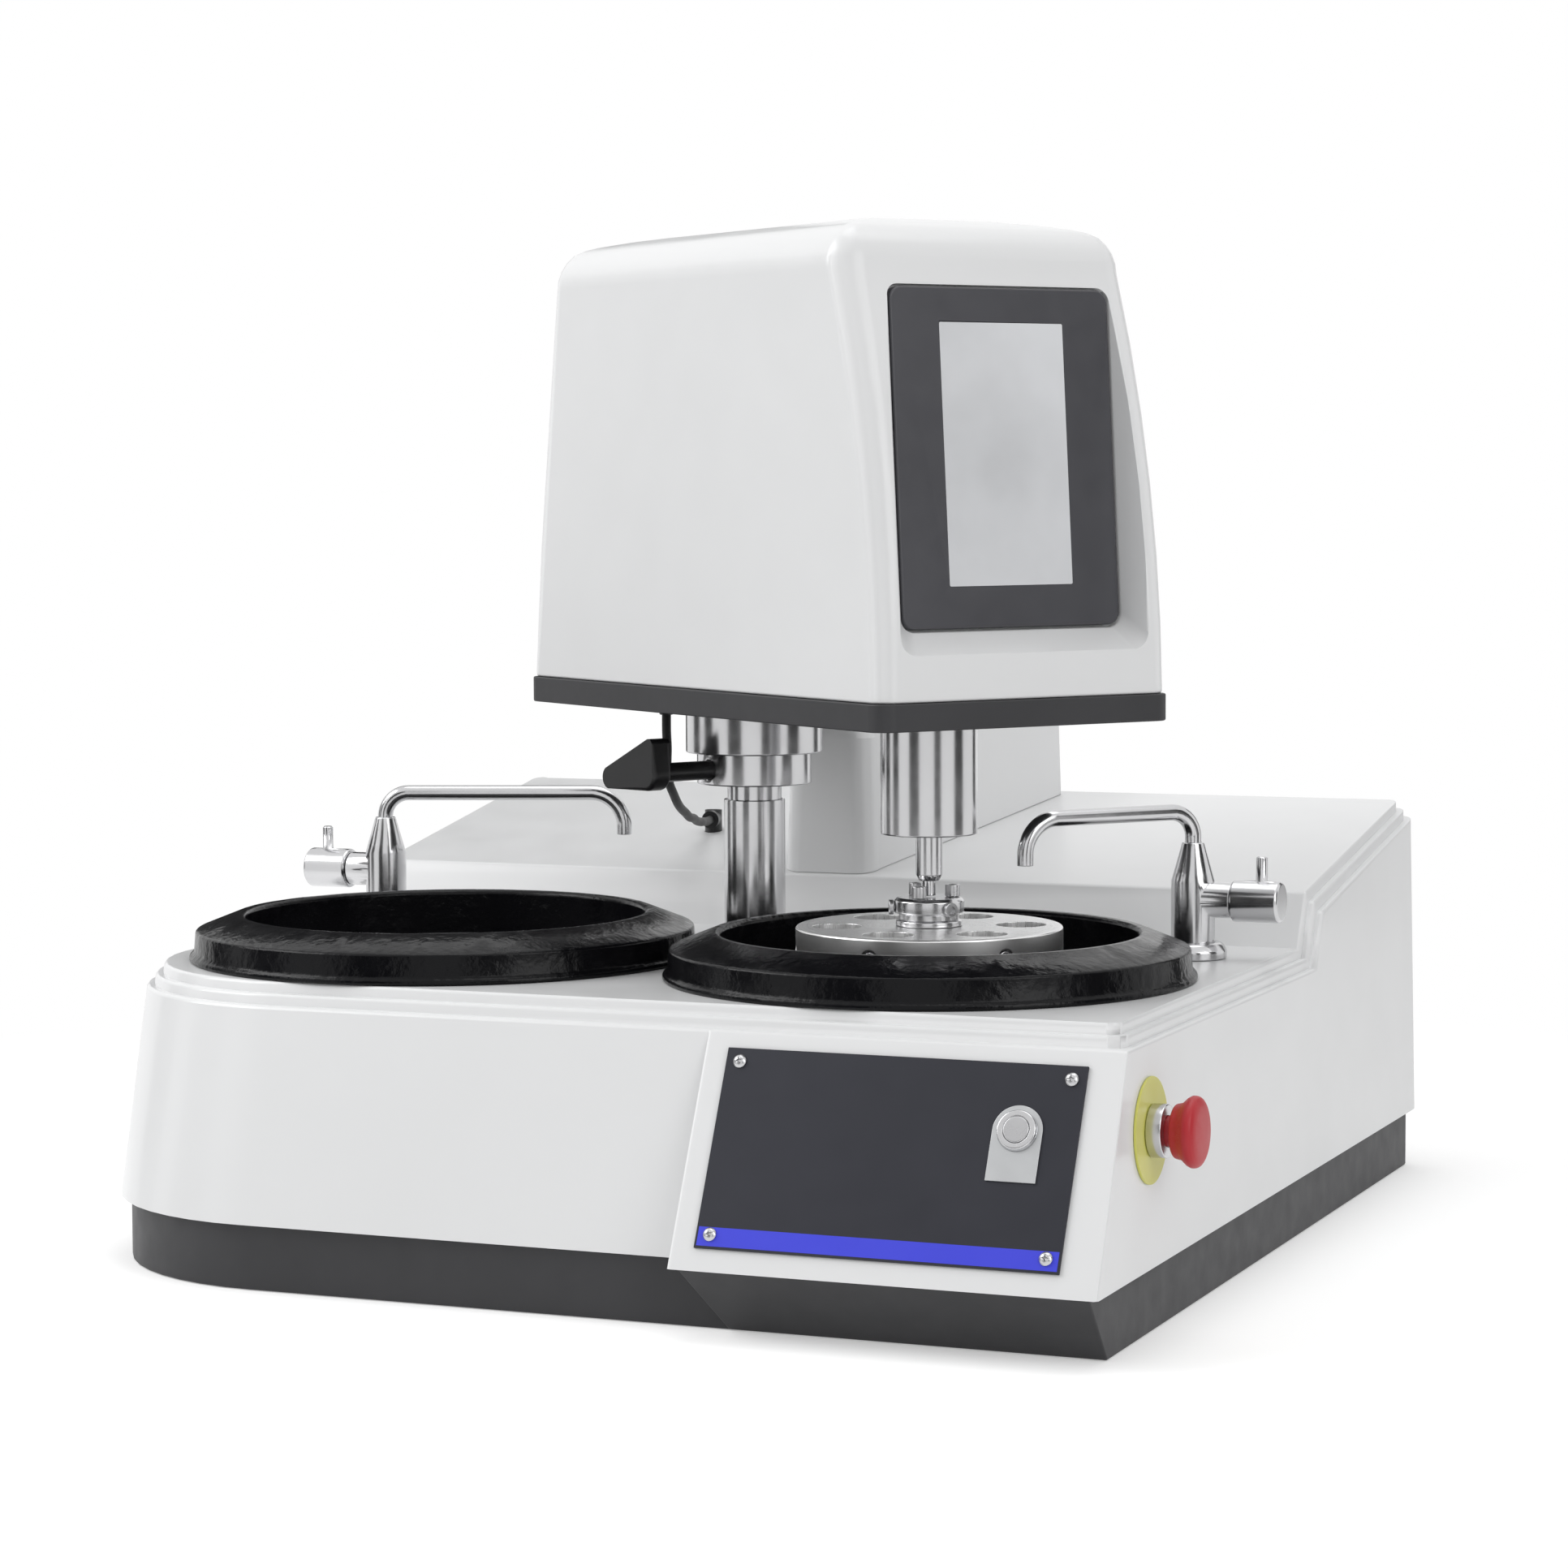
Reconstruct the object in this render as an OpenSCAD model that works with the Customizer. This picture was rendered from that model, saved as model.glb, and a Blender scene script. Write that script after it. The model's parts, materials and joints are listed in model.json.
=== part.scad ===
// Twin-disc metallographic grinder-polisher with a swinging automatic head.
// The origin is on the floor under the column. +X is the machine's right, -Y its front, +Z up.

/* [Housing] */
// Distance from the bowl's edge out to the housing's lower side edge
side_margin = 21; // [14:0.5:26]
// Distance from the bowl's front edge to the housing's lower front edge, left of the console
front_margin = 40; // [34:1:54]
// Distance from the column to the back of the housing
shell_back = 369; // [355:1:400]
// Plan radius of the front left corner
corner_r = 146; // [110:1:150]
// Plan radius of the other housing corners
small_corner_r = 12; // [8:1:16]
// Thickness of the housing wall
shell_t = 4; // [3:0.5:5]
// Height of the flat deck above the floor
deck_z = 179; // [175:1:185]
// Height of each step of the moulding round the deck
step_rise = 6.5; // [5:0.5:8]
// Width of each ledge of the moulding round the deck
step_run = 4.5; // [3:0.5:6]
// How far the front leans back for each unit of height
front_lean = 0.24; // [0.18:0.01:0.28]
// How far each side leans in for each unit of height
side_lean = 0.02; // [0:0.005:0.05]
// Distance from the column back to the foot of the rear step
step_y = 99; // [92:1:110]
// Depth of the steep rear step, front to back
step_depth = 19; // [10:1:30]
// Height of the ridge at the top of the rear step
ridge_z = 213; // [205:1:225]
// Height of the rear platform at the back
back_z = 255; // [240:1:262]
// Half width of the rear tower at its front
tower_front_half = 34; // [28:1:44]
// Half width of the rear tower at its back
tower_back_half = 91; // [80:1:100]
// Height of the rear tower's top above the floor
tower_top = 318; // [300:1:324]

/* [Console] */
// Width of the console at the housing's right end
console_w = 251; // [244:0.5:270]
// Distance from the housing's lower front edge to the console's lower lip
console_ahead = 31; // [24:1:44]
// Width of the control panel plate
panel_w = 213.5; // [200:0.5:220]
// Height of the control panel plate along the sloping face
panel_h = 117; // [104:1:119]
// Thickness of the control panel plate
panel_t = 1.5; // [1:0.25:2.5]
// Distance from the console's left edge to the panel's left edge
panel_margin = 14.5; // [10:0.5:18]
// Distance from the console's lower edge to the panel's lower edge
panel_lift = 13; // [8:1:16]
// Distance from the panel's right edge to the middle of the power button
button_in = 35; // [30:1:50]
// Distance from the panel's lower edge to the middle of the power button
button_up = 78; // [60:1:84]
// Width of the metal plate round the power button
button_plate_w = 29; // [27:1:36]
// Diameter of the power button's bezel ring
button_ring_d = 24; // [22:1:27]
// Diameter of the power button's cap
button_d = 15; // [12:1:16]
// Travel of the power button
button_travel = 2.5; // [1:0.5:4]

/* [Plinth] */
// Height of the dark plinth
plinth_h = 39.5; // [36:0.5:44]
// How far the plinth stands back from the housing's lower edge
plinth_inset = 4; // [3:0.5:8]
// Thickness of the plinth's wall
plinth_t = 2.5; // [1.5:0.5:4]
// Thickness of the plinth's floor
floor_t = 3; // [2:0.5:5]

/* [Bowls and discs] */
// Diameter of the bowl's outer flange
bowl_d = 320; // [312:1:326]
// Gap between the two bowls
bowl_gap = 4; // [2:0.5:8]
// Gap between each bowl and the column's foot
column_gap = 9.75; // [5:0.25:14]
// Height of the bowl's crest above the deck
bowl_rise = 28; // [24:1:30]
// Inner diameter of the bowl
bowl_in_d = 250; // [244:1:254]
// Thickness of the bowl's wall
bowl_t = 3; // [2:0.5:4]
// Depth of the bowl's floor below the deck
bowl_depth = 44; // [40:1:46]
// Gap between the working disc and the bowl's wall
disc_gap = 10; // [6:0.5:20]
// Thickness of the working disc
disc_t = 14; // [12:1:16]
// Height of the abrasive surface above the deck
disc_top = 1; // [-2:0.5:3]
// Thickness of the abrasive sheet
sheet_t = 1.2; // [0.8:0.1:2]

/* [Disc drives] */
// Diameter of the disc spindle
spindle_d = 25; // [20:1:28]
// Outer diameter of the spindle bearing
bearing_d = 47; // [42:1:50]
// Width of the spindle bearing
bearing_w = 12; // [10:1:14]
// Height of the frame plate's upper face above the floor
frame_z = 96; // [92:1:98]
// Thickness of the frame plate
frame_t = 8; // [6:1:9]
// Diameter of the disc pulley
pulley_d = 110; // [96:1:118]
// Diameter of the motor pulley
motor_pulley_d = 55; // [48:1:64]
// Width of the pulleys
pulley_w = 18; // [14:1:20]
// Thickness of the belt
belt_t = 3; // [2:0.5:4]
// Distance from the disc spindle back to its motor
motor_back = 306; // [298:1:312]
// Diameter of the disc motor
motor_d = 116; // [100:1:120]
// Height of the disc motor
motor_h = 92; // [80:1:98]
// Diameter of the disc motor's shaft
motor_shaft_d = 14; // [11:1:18]

/* [Column and clamp] */
// Outer diameter of the fixed column tube
column_d = 39; // [37:1:44]
// Diameter of the rising rod
rod_d = 34.5; // [32:0.5:35]
// Height of the column tube's top above the floor
column_top = 273; // [268:1:276]
// Diameter of the clamp collar's lower tier
collar_d = 73; // [66:1:78]
// Diameter of the clamp collar's upper tier
collar_top_d = 87; // [82:1:94]
// Height of the clamp collar's underside above the floor
collar_z = 283; // [280:1:288]
// Height of the lower tier of the collar
collar_step = 20; // [18:1:24]
// Travel of the head's lift
lift_travel = 30; // [20:1:40]
// Diameter of the clamp screw
clamp_screw_d = 12; // [10:1:14]
// Length of the clamp lever from hub to knob
lever_len = 38; // [34:1:44]
// Direction in which the clamp screw points, from +X
clamp_angle = -120; // [-126:1:-114]

/* [Head] */
// Height of the head plate's underside above the floor
head_z = 334; // [332:1:340]
// Thickness of the head plate
head_plate_t = 16; // [12:1:18]
// Distance from the working spindle to the head's front edge
head_ahead = 104; // [100:1:112]
// Distance from the column to the head's back edge
head_behind = 112; // [108:1:120]
// Width of the head plate
head_w = 207; // [200:1:214]
// Height of the head cover
cover_h = 280; // [274:1:296]
// How far the cover stands in from the edge of the head plate
cover_inset = 1.5; // [1:0.5:5]
// How far the cover's front leans back over its height
cover_front_lean = 53; // [40:1:56]
// How far the cover's back leans in over its height
cover_back_lean = 32; // [22:1:38]
// How far each side of the cover leans in over its height
cover_side_lean = 1; // [0:0.5:6]
// Radius of the cover's upper edges
cover_r = 27; // [26:1:34]
// Height of the crown in the cover's roof
cover_crown = 7; // [4:1:12]
// Thickness of the cover's wall
cover_t = 3.5; // [2.5:0.5:4.5]
// Width of the screen's frame
screen_w = 153; // [144:1:156]
// Height of the screen's frame
screen_h = 196; // [190:1:206]
// Thickness of the screen's frame
screen_t = 8; // [6:1:10]
// Height of the screen's lower edge above the head plate
screen_lift = 40; // [36:1:46]
// Angle by which the screen leans back
screen_tilt = 4.1; // [2:0.1:6]
// Width of the display glass
glass_w = 87; // [80:1:96]
// Height of the display glass
glass_h = 152; // [140:1:158]

/* [Working spindle] */
// Diameter of the bright quill under the head
quill_d = 58; // [52:1:62]
// Height of the quill's lower end above the floor
quill_z = 265; // [262:1:268]
// Outer diameter of the turning drive sleeve
sleeve_d = 30; // [26:1:34]
// Diameter of the working shaft
shaft_d = 16; // [14:1:18]
// Travel of the working shaft, upwards
feed_travel = 18; // [8:1:20]
// Diameter of the specimen holder
holder_d = 160; // [150:1:164]
// Height of the specimen holder's top above the floor
holder_top = 210; // [208:1:211]
// Thickness of the specimen holder
holder_t = 24; // [20:1:26]
// Diameter of each specimen hole
specimen_d = 30; // [25:1:32]
// Diameter of the circle of specimen holes
specimen_pcd = 110; // [106:1:114]
// Number of specimen holes
specimen_count = 6; // [3:1:6]

/* [Water taps] */
// Distance from the bowl's edge to the tap's axis
tap_gap = 29; // [25:1:34]
// Direction from each disc's axis to its tap, measured from the machine's side
tap_bearing = 50.6; // [46:0.2:56]
// Diameter of the tap's body
tap_d = 27; // [24:1:30]
// Height of the tap's cylindrical body above the deck
tap_h = 48; // [44:1:52]
// Height of the tap's conical shoulder
tap_cone_h = 24; // [20:1:28]
// Diameter of the spout tube
spout_d = 10; // [8:0.5:11]
// Reach of the left spout
left_reach = 161; // [150:1:170]
// Reach of the right spout
right_reach = 121; // [110:1:130]
// Direction of the left spout, from +X
left_spout_angle = 19; // [0:1:30]
// Direction of the right spout, from +X
right_spout_angle = -130; // [-140:1:-120]
// Diameter of the tap's valve handle
knob_d = 26; // [24:1:27]

/* [Emergency stop] */
// Distance from the column forward to the emergency stop
estop_y = 250; // [240:1:260]
// Height of the emergency stop above the floor
estop_z = 117; // [105:1:128]
// Diameter of the yellow disc
estop_label_d = 60; // [54:1:64]
// Diameter of the red mushroom
estop_d = 40; // [37:1:42]
// Travel of the emergency stop
estop_travel = 4; // [3:0.5:4.5]

/* [Hidden] */

// One overrun lets every cut pass its faces
cut = 1;
// Running clearance of a shaft in its bore, on the radius
fit = 0.05;
// Gap between pieces that seat on each other
seat = 0.2;
// Clearance of a hole round a piece that passes through it, on the radius
loose = 0.5;

$fn = 64;
corner_n = 12;

// Places of the main axes
foot_d = column_d + 20;
disc_d = bowl_in_d - 2 * disc_gap;
disc_spacing = bowl_d + bowl_gap;
disc_x = disc_spacing / 2;
arm_len = bowl_d / 2 + foot_d / 2 + column_gap;
disc_y = sqrt(arm_len * arm_len - disc_x * disc_x);
arm_angle = -atan2(disc_y, disc_x);
tap_x = disc_x + (bowl_d / 2 + tap_gap) * cos(tap_bearing);
tap_y = (bowl_d / 2 + tap_gap) * sin(tap_bearing) - disc_y;

// Outline of the housing at its lower edge
shell_w = disc_spacing + bowl_d + 2 * side_margin;
shell_front = disc_y + bowl_d / 2 + front_margin;
console_left = shell_w / 2 - console_w;
console_front = shell_front + console_ahead;

// Colours as the photograph shows them
white = [0.93, 0.93, 0.93];
dark = [0.17, 0.17, 0.18];
black = [0.05, 0.05, 0.05];
chrome = [0.78, 0.78, 0.8];
steel = [0.62, 0.63, 0.65];

// Points along an arc
function arc(x, y, r, a0, a1, n = corner_n) =
    [for (i = [0:n]) let (a = a0 + (a1 - a0) * i / n) [x + r * cos(a), y + r * sin(a)]];

// Plan of a box whose corners have the radii front left, front right, back right, back left
function plan(x0, x1, y0, y1, radii) = concat(
    arc(x0 + radii[0], y0 + radii[0], radii[0], 180, 270),
    arc(x1 - radii[1], y0 + radii[1], radii[1], 270, 360),
    arc(x1 - radii[2], y1 - radii[2], radii[2], 0, 90),
    arc(x0 + radii[3], y1 - radii[3], radii[3], 90, 180));

function raise(outline, z) = [for (p = outline) [p[0], p[1], z]];

// Solid through closed outlines of equal point counts, each above the last
module rings(outlines) {
    n = len(outlines[0]);
    m = len(outlines);
    polyhedron(
        points = [for (ring = outlines) each ring],
        faces = concat(
            [[for (i = [0:n - 1]) i]],
            [[for (i = [n - 1:-1:0]) (m - 1) * n + i]],
            [for (k = [0:m - 2]) for (i = [0:n - 1])
                each [[k * n + i, (k + 1) * n + i, (k + 1) * n + (i + 1) % n],
                      [k * n + i, (k + 1) * n + (i + 1) % n, k * n + (i + 1) % n]]]),
        convexity = 6);
}

// Extrusion along X of an outline drawn in Y and Z
module extrude_x(x0, x1) {
    translate([x0, 0, 0]) rotate([90, 0, 90]) linear_extrude(x1 - x0) children();
}

// Ring with a true bore
module tube(d, bore, h) {
    difference() {
        cylinder(d = d, h = h);
        translate([0, 0, -cut]) cylinder(d = bore, h = h + 2 * cut);
    }
}

module on_both_sides() {
    for (side = [-1, 1]) translate([side * disc_x, -disc_y, 0]) children();
}

module at_disc(side) {
    translate([side * disc_x, -disc_y, 0]) children();
}

module at_motor(side) {
    translate([side * disc_x, motor_back - disc_y, 0]) children();
}

module at_tap(side) {
    translate([side * tap_x, tap_y, deck_z]) rotate([0, 0, side > 0 ? 0 : 180]) children();
}

// Frame of the head: +X runs from the column along the arm to the working spindle
module in_head() {
    rotate([0, 0, arm_angle]) children();
}

module at_spindle() {
    translate([disc_x, -disc_y, 0]) rotate([0, 0, arm_angle]) children();
}

// Housing: lofted sides with a two-step moulding round the deck and the rear platform
loft_top = back_z + step_rise;
edge_z = deck_z - 2 * step_rise;
function side_at(z) = shell_w / 2 - side_lean * (z - plinth_h);
function front_at(z) = shell_front - front_lean * (z - plinth_h);

// Console: its sloping face meets the housing's front at the moulding's lower edge
console_run = console_front - front_at(edge_z);
console_rise = edge_z - plinth_h;
console_tilt = atan2(console_rise, console_run);
console_back = shell_front - corner_r;
panel_left = console_left + panel_margin;
button_x = panel_left + panel_w - button_in;
button_s = panel_lift + button_up;
button_thread_d = button_ring_d - 5;

// Frame of the sloping console face: +Y runs up the face, +Z out of it
module at_console(x, s) {
    translate([x, -console_front, plinth_h]) rotate([console_tilt, 0, 0])
        translate([0, s, 0]) children();
}

// Frame of the emergency stop on the right side: +Z runs out of the side
side_tilt = atan(side_lean);
estop_collar_d = estop_label_d / 2;
estop_stem_d = estop_collar_d / 2 + 2;
estop_thread_d = estop_collar_d - 6;
module at_estop() {
    translate([side_at(estop_z), -estop_y, estop_z]) rotate([0, 90 - side_tilt, 0]) children();
}

module housing_layer(inset, drop) {
    r = small_corner_r - inset / 2;
    intersection() {
        rings([for (z = [plinth_h, loft_top])
            raise(plan(-side_at(z) + inset, side_at(z) - inset, -front_at(z) + inset, shell_back - inset,
                [corner_r - inset, r, r, r]), z)]);
        extrude_x(-shell_w, shell_w)
            polygon([[-shell_front - cut, plinth_h - cut], [shell_back + cut, plinth_h - cut],
                [shell_back + cut, back_z - drop], [step_y + step_depth + drop / 2, ridge_z - drop],
                [step_y + drop / 2, deck_z - drop], [-shell_front - cut, deck_z - drop]]);
    }
}

function console_plan(t, z) = raise([
    [console_left + t, -console_front + console_run * (z - plinth_h) / console_rise + t],
    [side_at(z) - t, -console_front + console_run * (z - plinth_h) / console_rise + t],
    [side_at(z) - t, -console_back],
    [console_left + t, -console_back]], z);

module housing_form(t) {
    for (k = [0:2]) housing_layer(k * step_run + t, (2 - k) * step_rise + t);
    rings([console_plan(t * 1.2, plinth_h), console_plan(t * 1.2, edge_z - t)]);
}

bowl_hole_d = bowl_in_d + 2 * bowl_t + 2 * loose;
tap_shank_d = tap_d / 2;
tower_foot_y = step_y + step_depth + 3;
rear_half = 150;
rear_low = 70;
rear_high = 190;
rear_lap = 10;
panel_screw_x = 8.5;
panel_screw_y = 8;
panel_screw_d = 4;

module at_panel_screws() {
    for (x = [panel_screw_x, panel_w - panel_screw_x], y = [panel_screw_y, panel_h - panel_screw_y])
        at_console(panel_left + x, panel_lift + y) children();
}

module housing() {
    color(white)
        difference() {
            housing_form(0);
            difference() {
                housing_form(shell_t);
                translate([-shell_w, -console_front - cut, 0])
                    cube([2 * shell_w, shell_back + console_front + 2 * cut, plinth_h - cut]);
            }
            translate([0, 0, plinth_h - cut]) linear_extrude(2 * cut)
                polygon(plan(-side_at(plinth_h) + shell_t, side_at(plinth_h) - shell_t,
                    -shell_front + shell_t, shell_back - shell_t,
                    [corner_r - shell_t, small_corner_r / 2, small_corner_r / 2, small_corner_r / 2]));
            on_both_sides() translate([0, 0, plinth_h]) cylinder(d = bowl_hole_d, h = back_z);
            for (side = [-1, 1]) at_tap(side) translate([0, 0, -deck_z + plinth_h])
                cylinder(d = tap_shank_d + 2 * loose, h = deck_z);
            translate([0, 0, plinth_h]) cylinder(d = column_d + 2 * loose, h = back_z);
            at_estop() translate([0, 0, -4 * shell_t])
                cylinder(d = estop_thread_d + 2 * loose, h = 5 * shell_t);
            at_console(button_x, button_s) translate([0, 0, -4 * shell_t])
                cylinder(d = button_thread_d + 2 * loose, h = 5 * shell_t);
            at_panel_screws() translate([0, 0, -4 * shell_t])
                cylinder(d = panel_screw_d + loose, h = 5 * shell_t);
            translate([platform_gland_x, platform_gland_y, deck_z])
                cylinder(d = gland_thread_d + loose, h = back_z);
            translate([-tower_front_half / 2, tower_foot_y + tower_front_half, edge_z])
                cube([tower_front_half, tower_back_half, back_z]);
            translate([-rear_half, shell_back - 3 * shell_t, rear_low])
                cube([2 * rear_half, 4 * shell_t, rear_high - rear_low]);
        }
}

// Plinth: open tray whose console part is undercut down to the same front line
plinth_front = shell_front - plinth_inset - 1;
plinth_back = shell_back - plinth_inset;
plinth_half = shell_w / 2 - 1.5 * plinth_inset;
plinth_left = console_left + plinth_inset;
plinth_slant = 18;
plinth_top = plinth_h - seat;

function plinth_console_plan(t, z) =
    let (low_share = 1 - z / plinth_top,
        y = -plinth_front - (console_front - plinth_inset - plinth_front) * (1 - low_share) + t,
        x = plinth_left + plinth_slant * low_share + t)
    raise([[x, y], [plinth_half - t, y], [plinth_half - t, -console_back], [x, -console_back]], z);

module plinth_form(t, z0, z1) {
    r = max(small_corner_r - plinth_inset - t, 2);
    translate([0, 0, z0]) linear_extrude(z1 - z0)
        polygon(plan(-plinth_half + t, plinth_half - t, -plinth_front + t, plinth_back - t,
            [corner_r - plinth_inset - t, r, r, r]));
    rings([plinth_console_plan(t, z0), plinth_console_plan(t, z1)]);
}

module plinth() {
    color(dark)
        difference() {
            plinth_form(0, 0, plinth_top);
            plinth_form(plinth_t, floor_t, plinth_top + cut);
        }
}

// Rear tower: fairing behind the head that takes the head's cable
tower_back = shell_back - 8;
tower_r = 14;
tower_lean = 4;

function tower_plan(t, z, lean) =
    let (f = tower_front_half - t - lean, b = tower_back_half - t - lean,
        y0 = tower_foot_y + t + lean, y1 = tower_back - t, r = tower_r - t / 2)
    raise(concat(
        arc(-f + r, y0 + r, r, 180, 270), arc(f - r, y0 + r, r, 270, 360),
        arc(b - r, y1 - r, r, 0, 90), arc(-b + r, y1 - r, r, 90, 180)), z);

module tower_form(t, top) {
    rings([tower_plan(t, deck_z, 0), tower_plan(t, top - tower_r, tower_lean),
        tower_plan(t, top - tower_r / 4, 2 * tower_lean), tower_plan(t, top, 3 * tower_lean)]);
}

// Space above the rear platform, raised a little so that what stands there seats on it
module above_platform(gap) {
    extrude_x(-shell_w, shell_w)
        polygon([[step_y + step_depth - cut, ridge_z + gap], [shell_back, back_z + gap],
            [shell_back, tower_top + cut], [step_y + step_depth - cut, tower_top + cut]]);
}

module rear_tower() {
    color(white)
        difference() {
            intersection() {
                tower_form(0, tower_top);
                above_platform(seat);
            }
            tower_form(shell_t, tower_top - shell_t);
        }
}

// Rear panel with the mains inlet, the water inlet and the drain
rear_t = 2;
water_x = -100;
water_z = 150;
drain_x = -110;
drain_z = 95;
power_x = 100;
power_z = 130;
water_d = 20;
drain_d = 32;
inlet_w = 28;
inlet_h = 48;
rear_y = shell_back + seat;

module behind(x, z) {
    translate([x, rear_y, z]) rotate([-90, 0, 0]) children();
}

module rear_panel() {
    color(steel)
        difference() {
            translate([-rear_half - rear_lap, rear_y, rear_low - rear_lap])
                cube([2 * (rear_half + rear_lap), rear_t, rear_high - rear_low + 2 * rear_lap]);
            behind(water_x, water_z) translate([0, 0, -cut])
                cylinder(d = water_d + 2 * loose, h = rear_t + 2 * cut);
            behind(drain_x, drain_z) translate([0, 0, -cut])
                cylinder(d = drain_d + 2 * loose, h = rear_t + 2 * cut);
            translate([power_x - inlet_w / 2 - loose, rear_y - cut, power_z - inlet_h / 2 - loose])
                cube([inlet_w + 2 * loose, rear_t + 2 * cut, inlet_h + 2 * loose]);
        }
}

// A threaded stub with a flange outside the panel and a nut inside
module bulkhead(d, bore, out, back) {
    difference() {
        union() {
            translate([0, 0, -back]) cylinder(d = d, h = back + out);
            translate([0, 0, rear_t + seat]) cylinder(d = d * 1.4, h = rear_t * 2);
            translate([0, 0, -seat - 3 * rear_t]) cylinder(d = d * 1.4, h = 3 * rear_t, $fn = 6);
        }
        translate([0, 0, -back - cut]) cylinder(d = bore, h = back + out + 2 * cut);
    }
}

inlet_out = 26;
inlet_back = 14;

module water_inlet() {
    color("goldenrod") behind(water_x, water_z) bulkhead(water_d, water_d * 0.65, inlet_out, inlet_back);
}

module drain_outlet() {
    color(dark) behind(drain_x, drain_z) bulkhead(drain_d, drain_d * 0.75, inlet_out, inlet_back);
}

// Mains inlet: a shrouded socket with three blades
blade_w = 2;
blade_h = 6;
socket_deep = 12;
module power_inlet() {
    color(black)
        difference() {
            union() {
                translate([power_x - inlet_w / 2, rear_y - inlet_h / 2, power_z - inlet_h / 2])
                    cube([inlet_w, inlet_h / 2, inlet_h]);
                translate([power_x - inlet_w / 2 - rear_t, rear_y + rear_t + seat, power_z - inlet_h / 2 - rear_t])
                    cube([inlet_w + 2 * rear_t, rear_t, inlet_h + 2 * rear_t]);
                translate([power_x - inlet_w / 2, rear_y - cut, power_z - inlet_h / 2])
                    cube([inlet_w, rear_t + seat + 2 * cut, inlet_h]);
            }
            difference() {
                translate([power_x - inlet_w / 3, rear_y + 2 * rear_t + seat - socket_deep, power_z - inlet_h / 3])
                    cube([inlet_w * 2 / 3, socket_deep + cut, inlet_h * 2 / 3]);
                for (dz = [-1, 0, 1])
                    translate([power_x - blade_h / 2 + (dz == 0 ? blade_h / 2 : 0),
                        rear_y - socket_deep, power_z + dz * inlet_h / 5 - blade_w / 2])
                        cube([blade_h, socket_deep, blade_w]);
            }
        }
}

// Drive frame: a plate on welded posts, which carries the spindles and motors
frame_side = 20;
frame_ahead = 74;
frame_behind = 70;
frame_half = disc_x + pulley_d / 2 + belt_t + frame_side;
frame_front = disc_y + frame_ahead;
frame_back = motor_back - disc_y + frame_behind;
post_d = 20;
post_in = 12;
spindle_house_d = bearing_d + 13;

module drive_frame() {
    color(steel)
        difference() {
            union() {
                translate([-frame_half, -frame_front, frame_z - frame_t])
                    cube([2 * frame_half, frame_front + frame_back, frame_t]);
                for (x = [-frame_half + post_in, frame_half - post_in],
                    y = [-frame_front + 2 * post_in, 0, frame_back - 2 * post_in])
                    translate([x, y, floor_t + seat]) cylinder(d = post_d, h = frame_z - frame_t / 2 - floor_t - seat);
            }
            on_both_sides() translate([0, 0, frame_z - frame_t - cut])
                cylinder(d = spindle_house_d + 2 * loose, h = frame_t + 2 * cut);
            for (side = [-1, 1]) at_motor(side) translate([0, 0, frame_z - frame_t - cut])
                cylinder(d = motor_shaft_d * 2, h = frame_t + 2 * cut);
            translate([0, 0, frame_z - frame_t - cut])
                cylinder(d = column_d + 2 * loose, h = frame_t + 2 * cut);
        }
}

// Disc drive heights
disc_low = deck_z + disc_top - sheet_t - disc_t;
flange_t = 8;
flange_d = 80;
rim_d = flange_d - 12;
spindle_flange_z = disc_low - flange_t;
bowl_floor_z = deck_z - bowl_depth;
house_low = frame_z - frame_t - 4;
house_high = bowl_floor_z - 4;
house_flange_t = 8;
shoulder_d = bearing_d - 6;
pulley_z = house_low - 4 - pulley_w;
bearing_gap = 2;

module spindle_housings() {
    color(steel)
        on_both_sides()
            difference() {
                union() {
                    translate([0, 0, house_low]) cylinder(d = spindle_house_d, h = house_high - house_low);
                    translate([0, 0, frame_z + seat])
                        cylinder(d = spindle_house_d * 1.6, h = house_flange_t);
                }
                translate([0, 0, house_low - cut]) cylinder(d = shoulder_d, h = house_high - house_low + 2 * cut);
                translate([0, 0, house_low - cut])
                    cylinder(d = bearing_d + 2 * fit, h = bearing_w + bearing_gap + cut);
                translate([0, 0, house_high - bearing_w - bearing_gap])
                    cylinder(d = bearing_d + 2 * fit, h = bearing_w + bearing_gap + cut);
            }
}

module spindle_bearings() {
    color(chrome)
        on_both_sides()
            for (z = [house_low + bearing_gap - seat, house_high - bearing_w - bearing_gap + seat])
                translate([0, 0, z]) tube(bearing_d, spindle_d + 2 * fit, bearing_w);
}

// Spindle: its flange carries the disc and its skirt keeps water out of the bearings
nose_d = 20;
nose_h = 6;
drive_pin_d = 8;
drive_pin_r = flange_d / 2 - 10;
skirt_h = 7;
module spindle(side) {
    color(chrome) at_disc(side)
        union() {
            translate([0, 0, pulley_z - 3]) cylinder(d = spindle_d, h = spindle_flange_z - pulley_z + 3);
            translate([0, 0, spindle_flange_z]) cylinder(d = flange_d, h = flange_t);
            difference() {
                translate([0, 0, spindle_flange_z - skirt_h]) cylinder(d = flange_d, h = skirt_h + cut);
                translate([0, 0, spindle_flange_z - skirt_h - cut])
                    cylinder(d = rim_d + 4, h = skirt_h + cut);
            }
            translate([0, 0, disc_low]) cylinder(d = nose_d, h = nose_h);
            for (a = [0, 180]) rotate([0, 0, a]) translate([drive_pin_r, 0, disc_low])
                cylinder(d = drive_pin_d, h = nose_h);
        }
}

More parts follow.
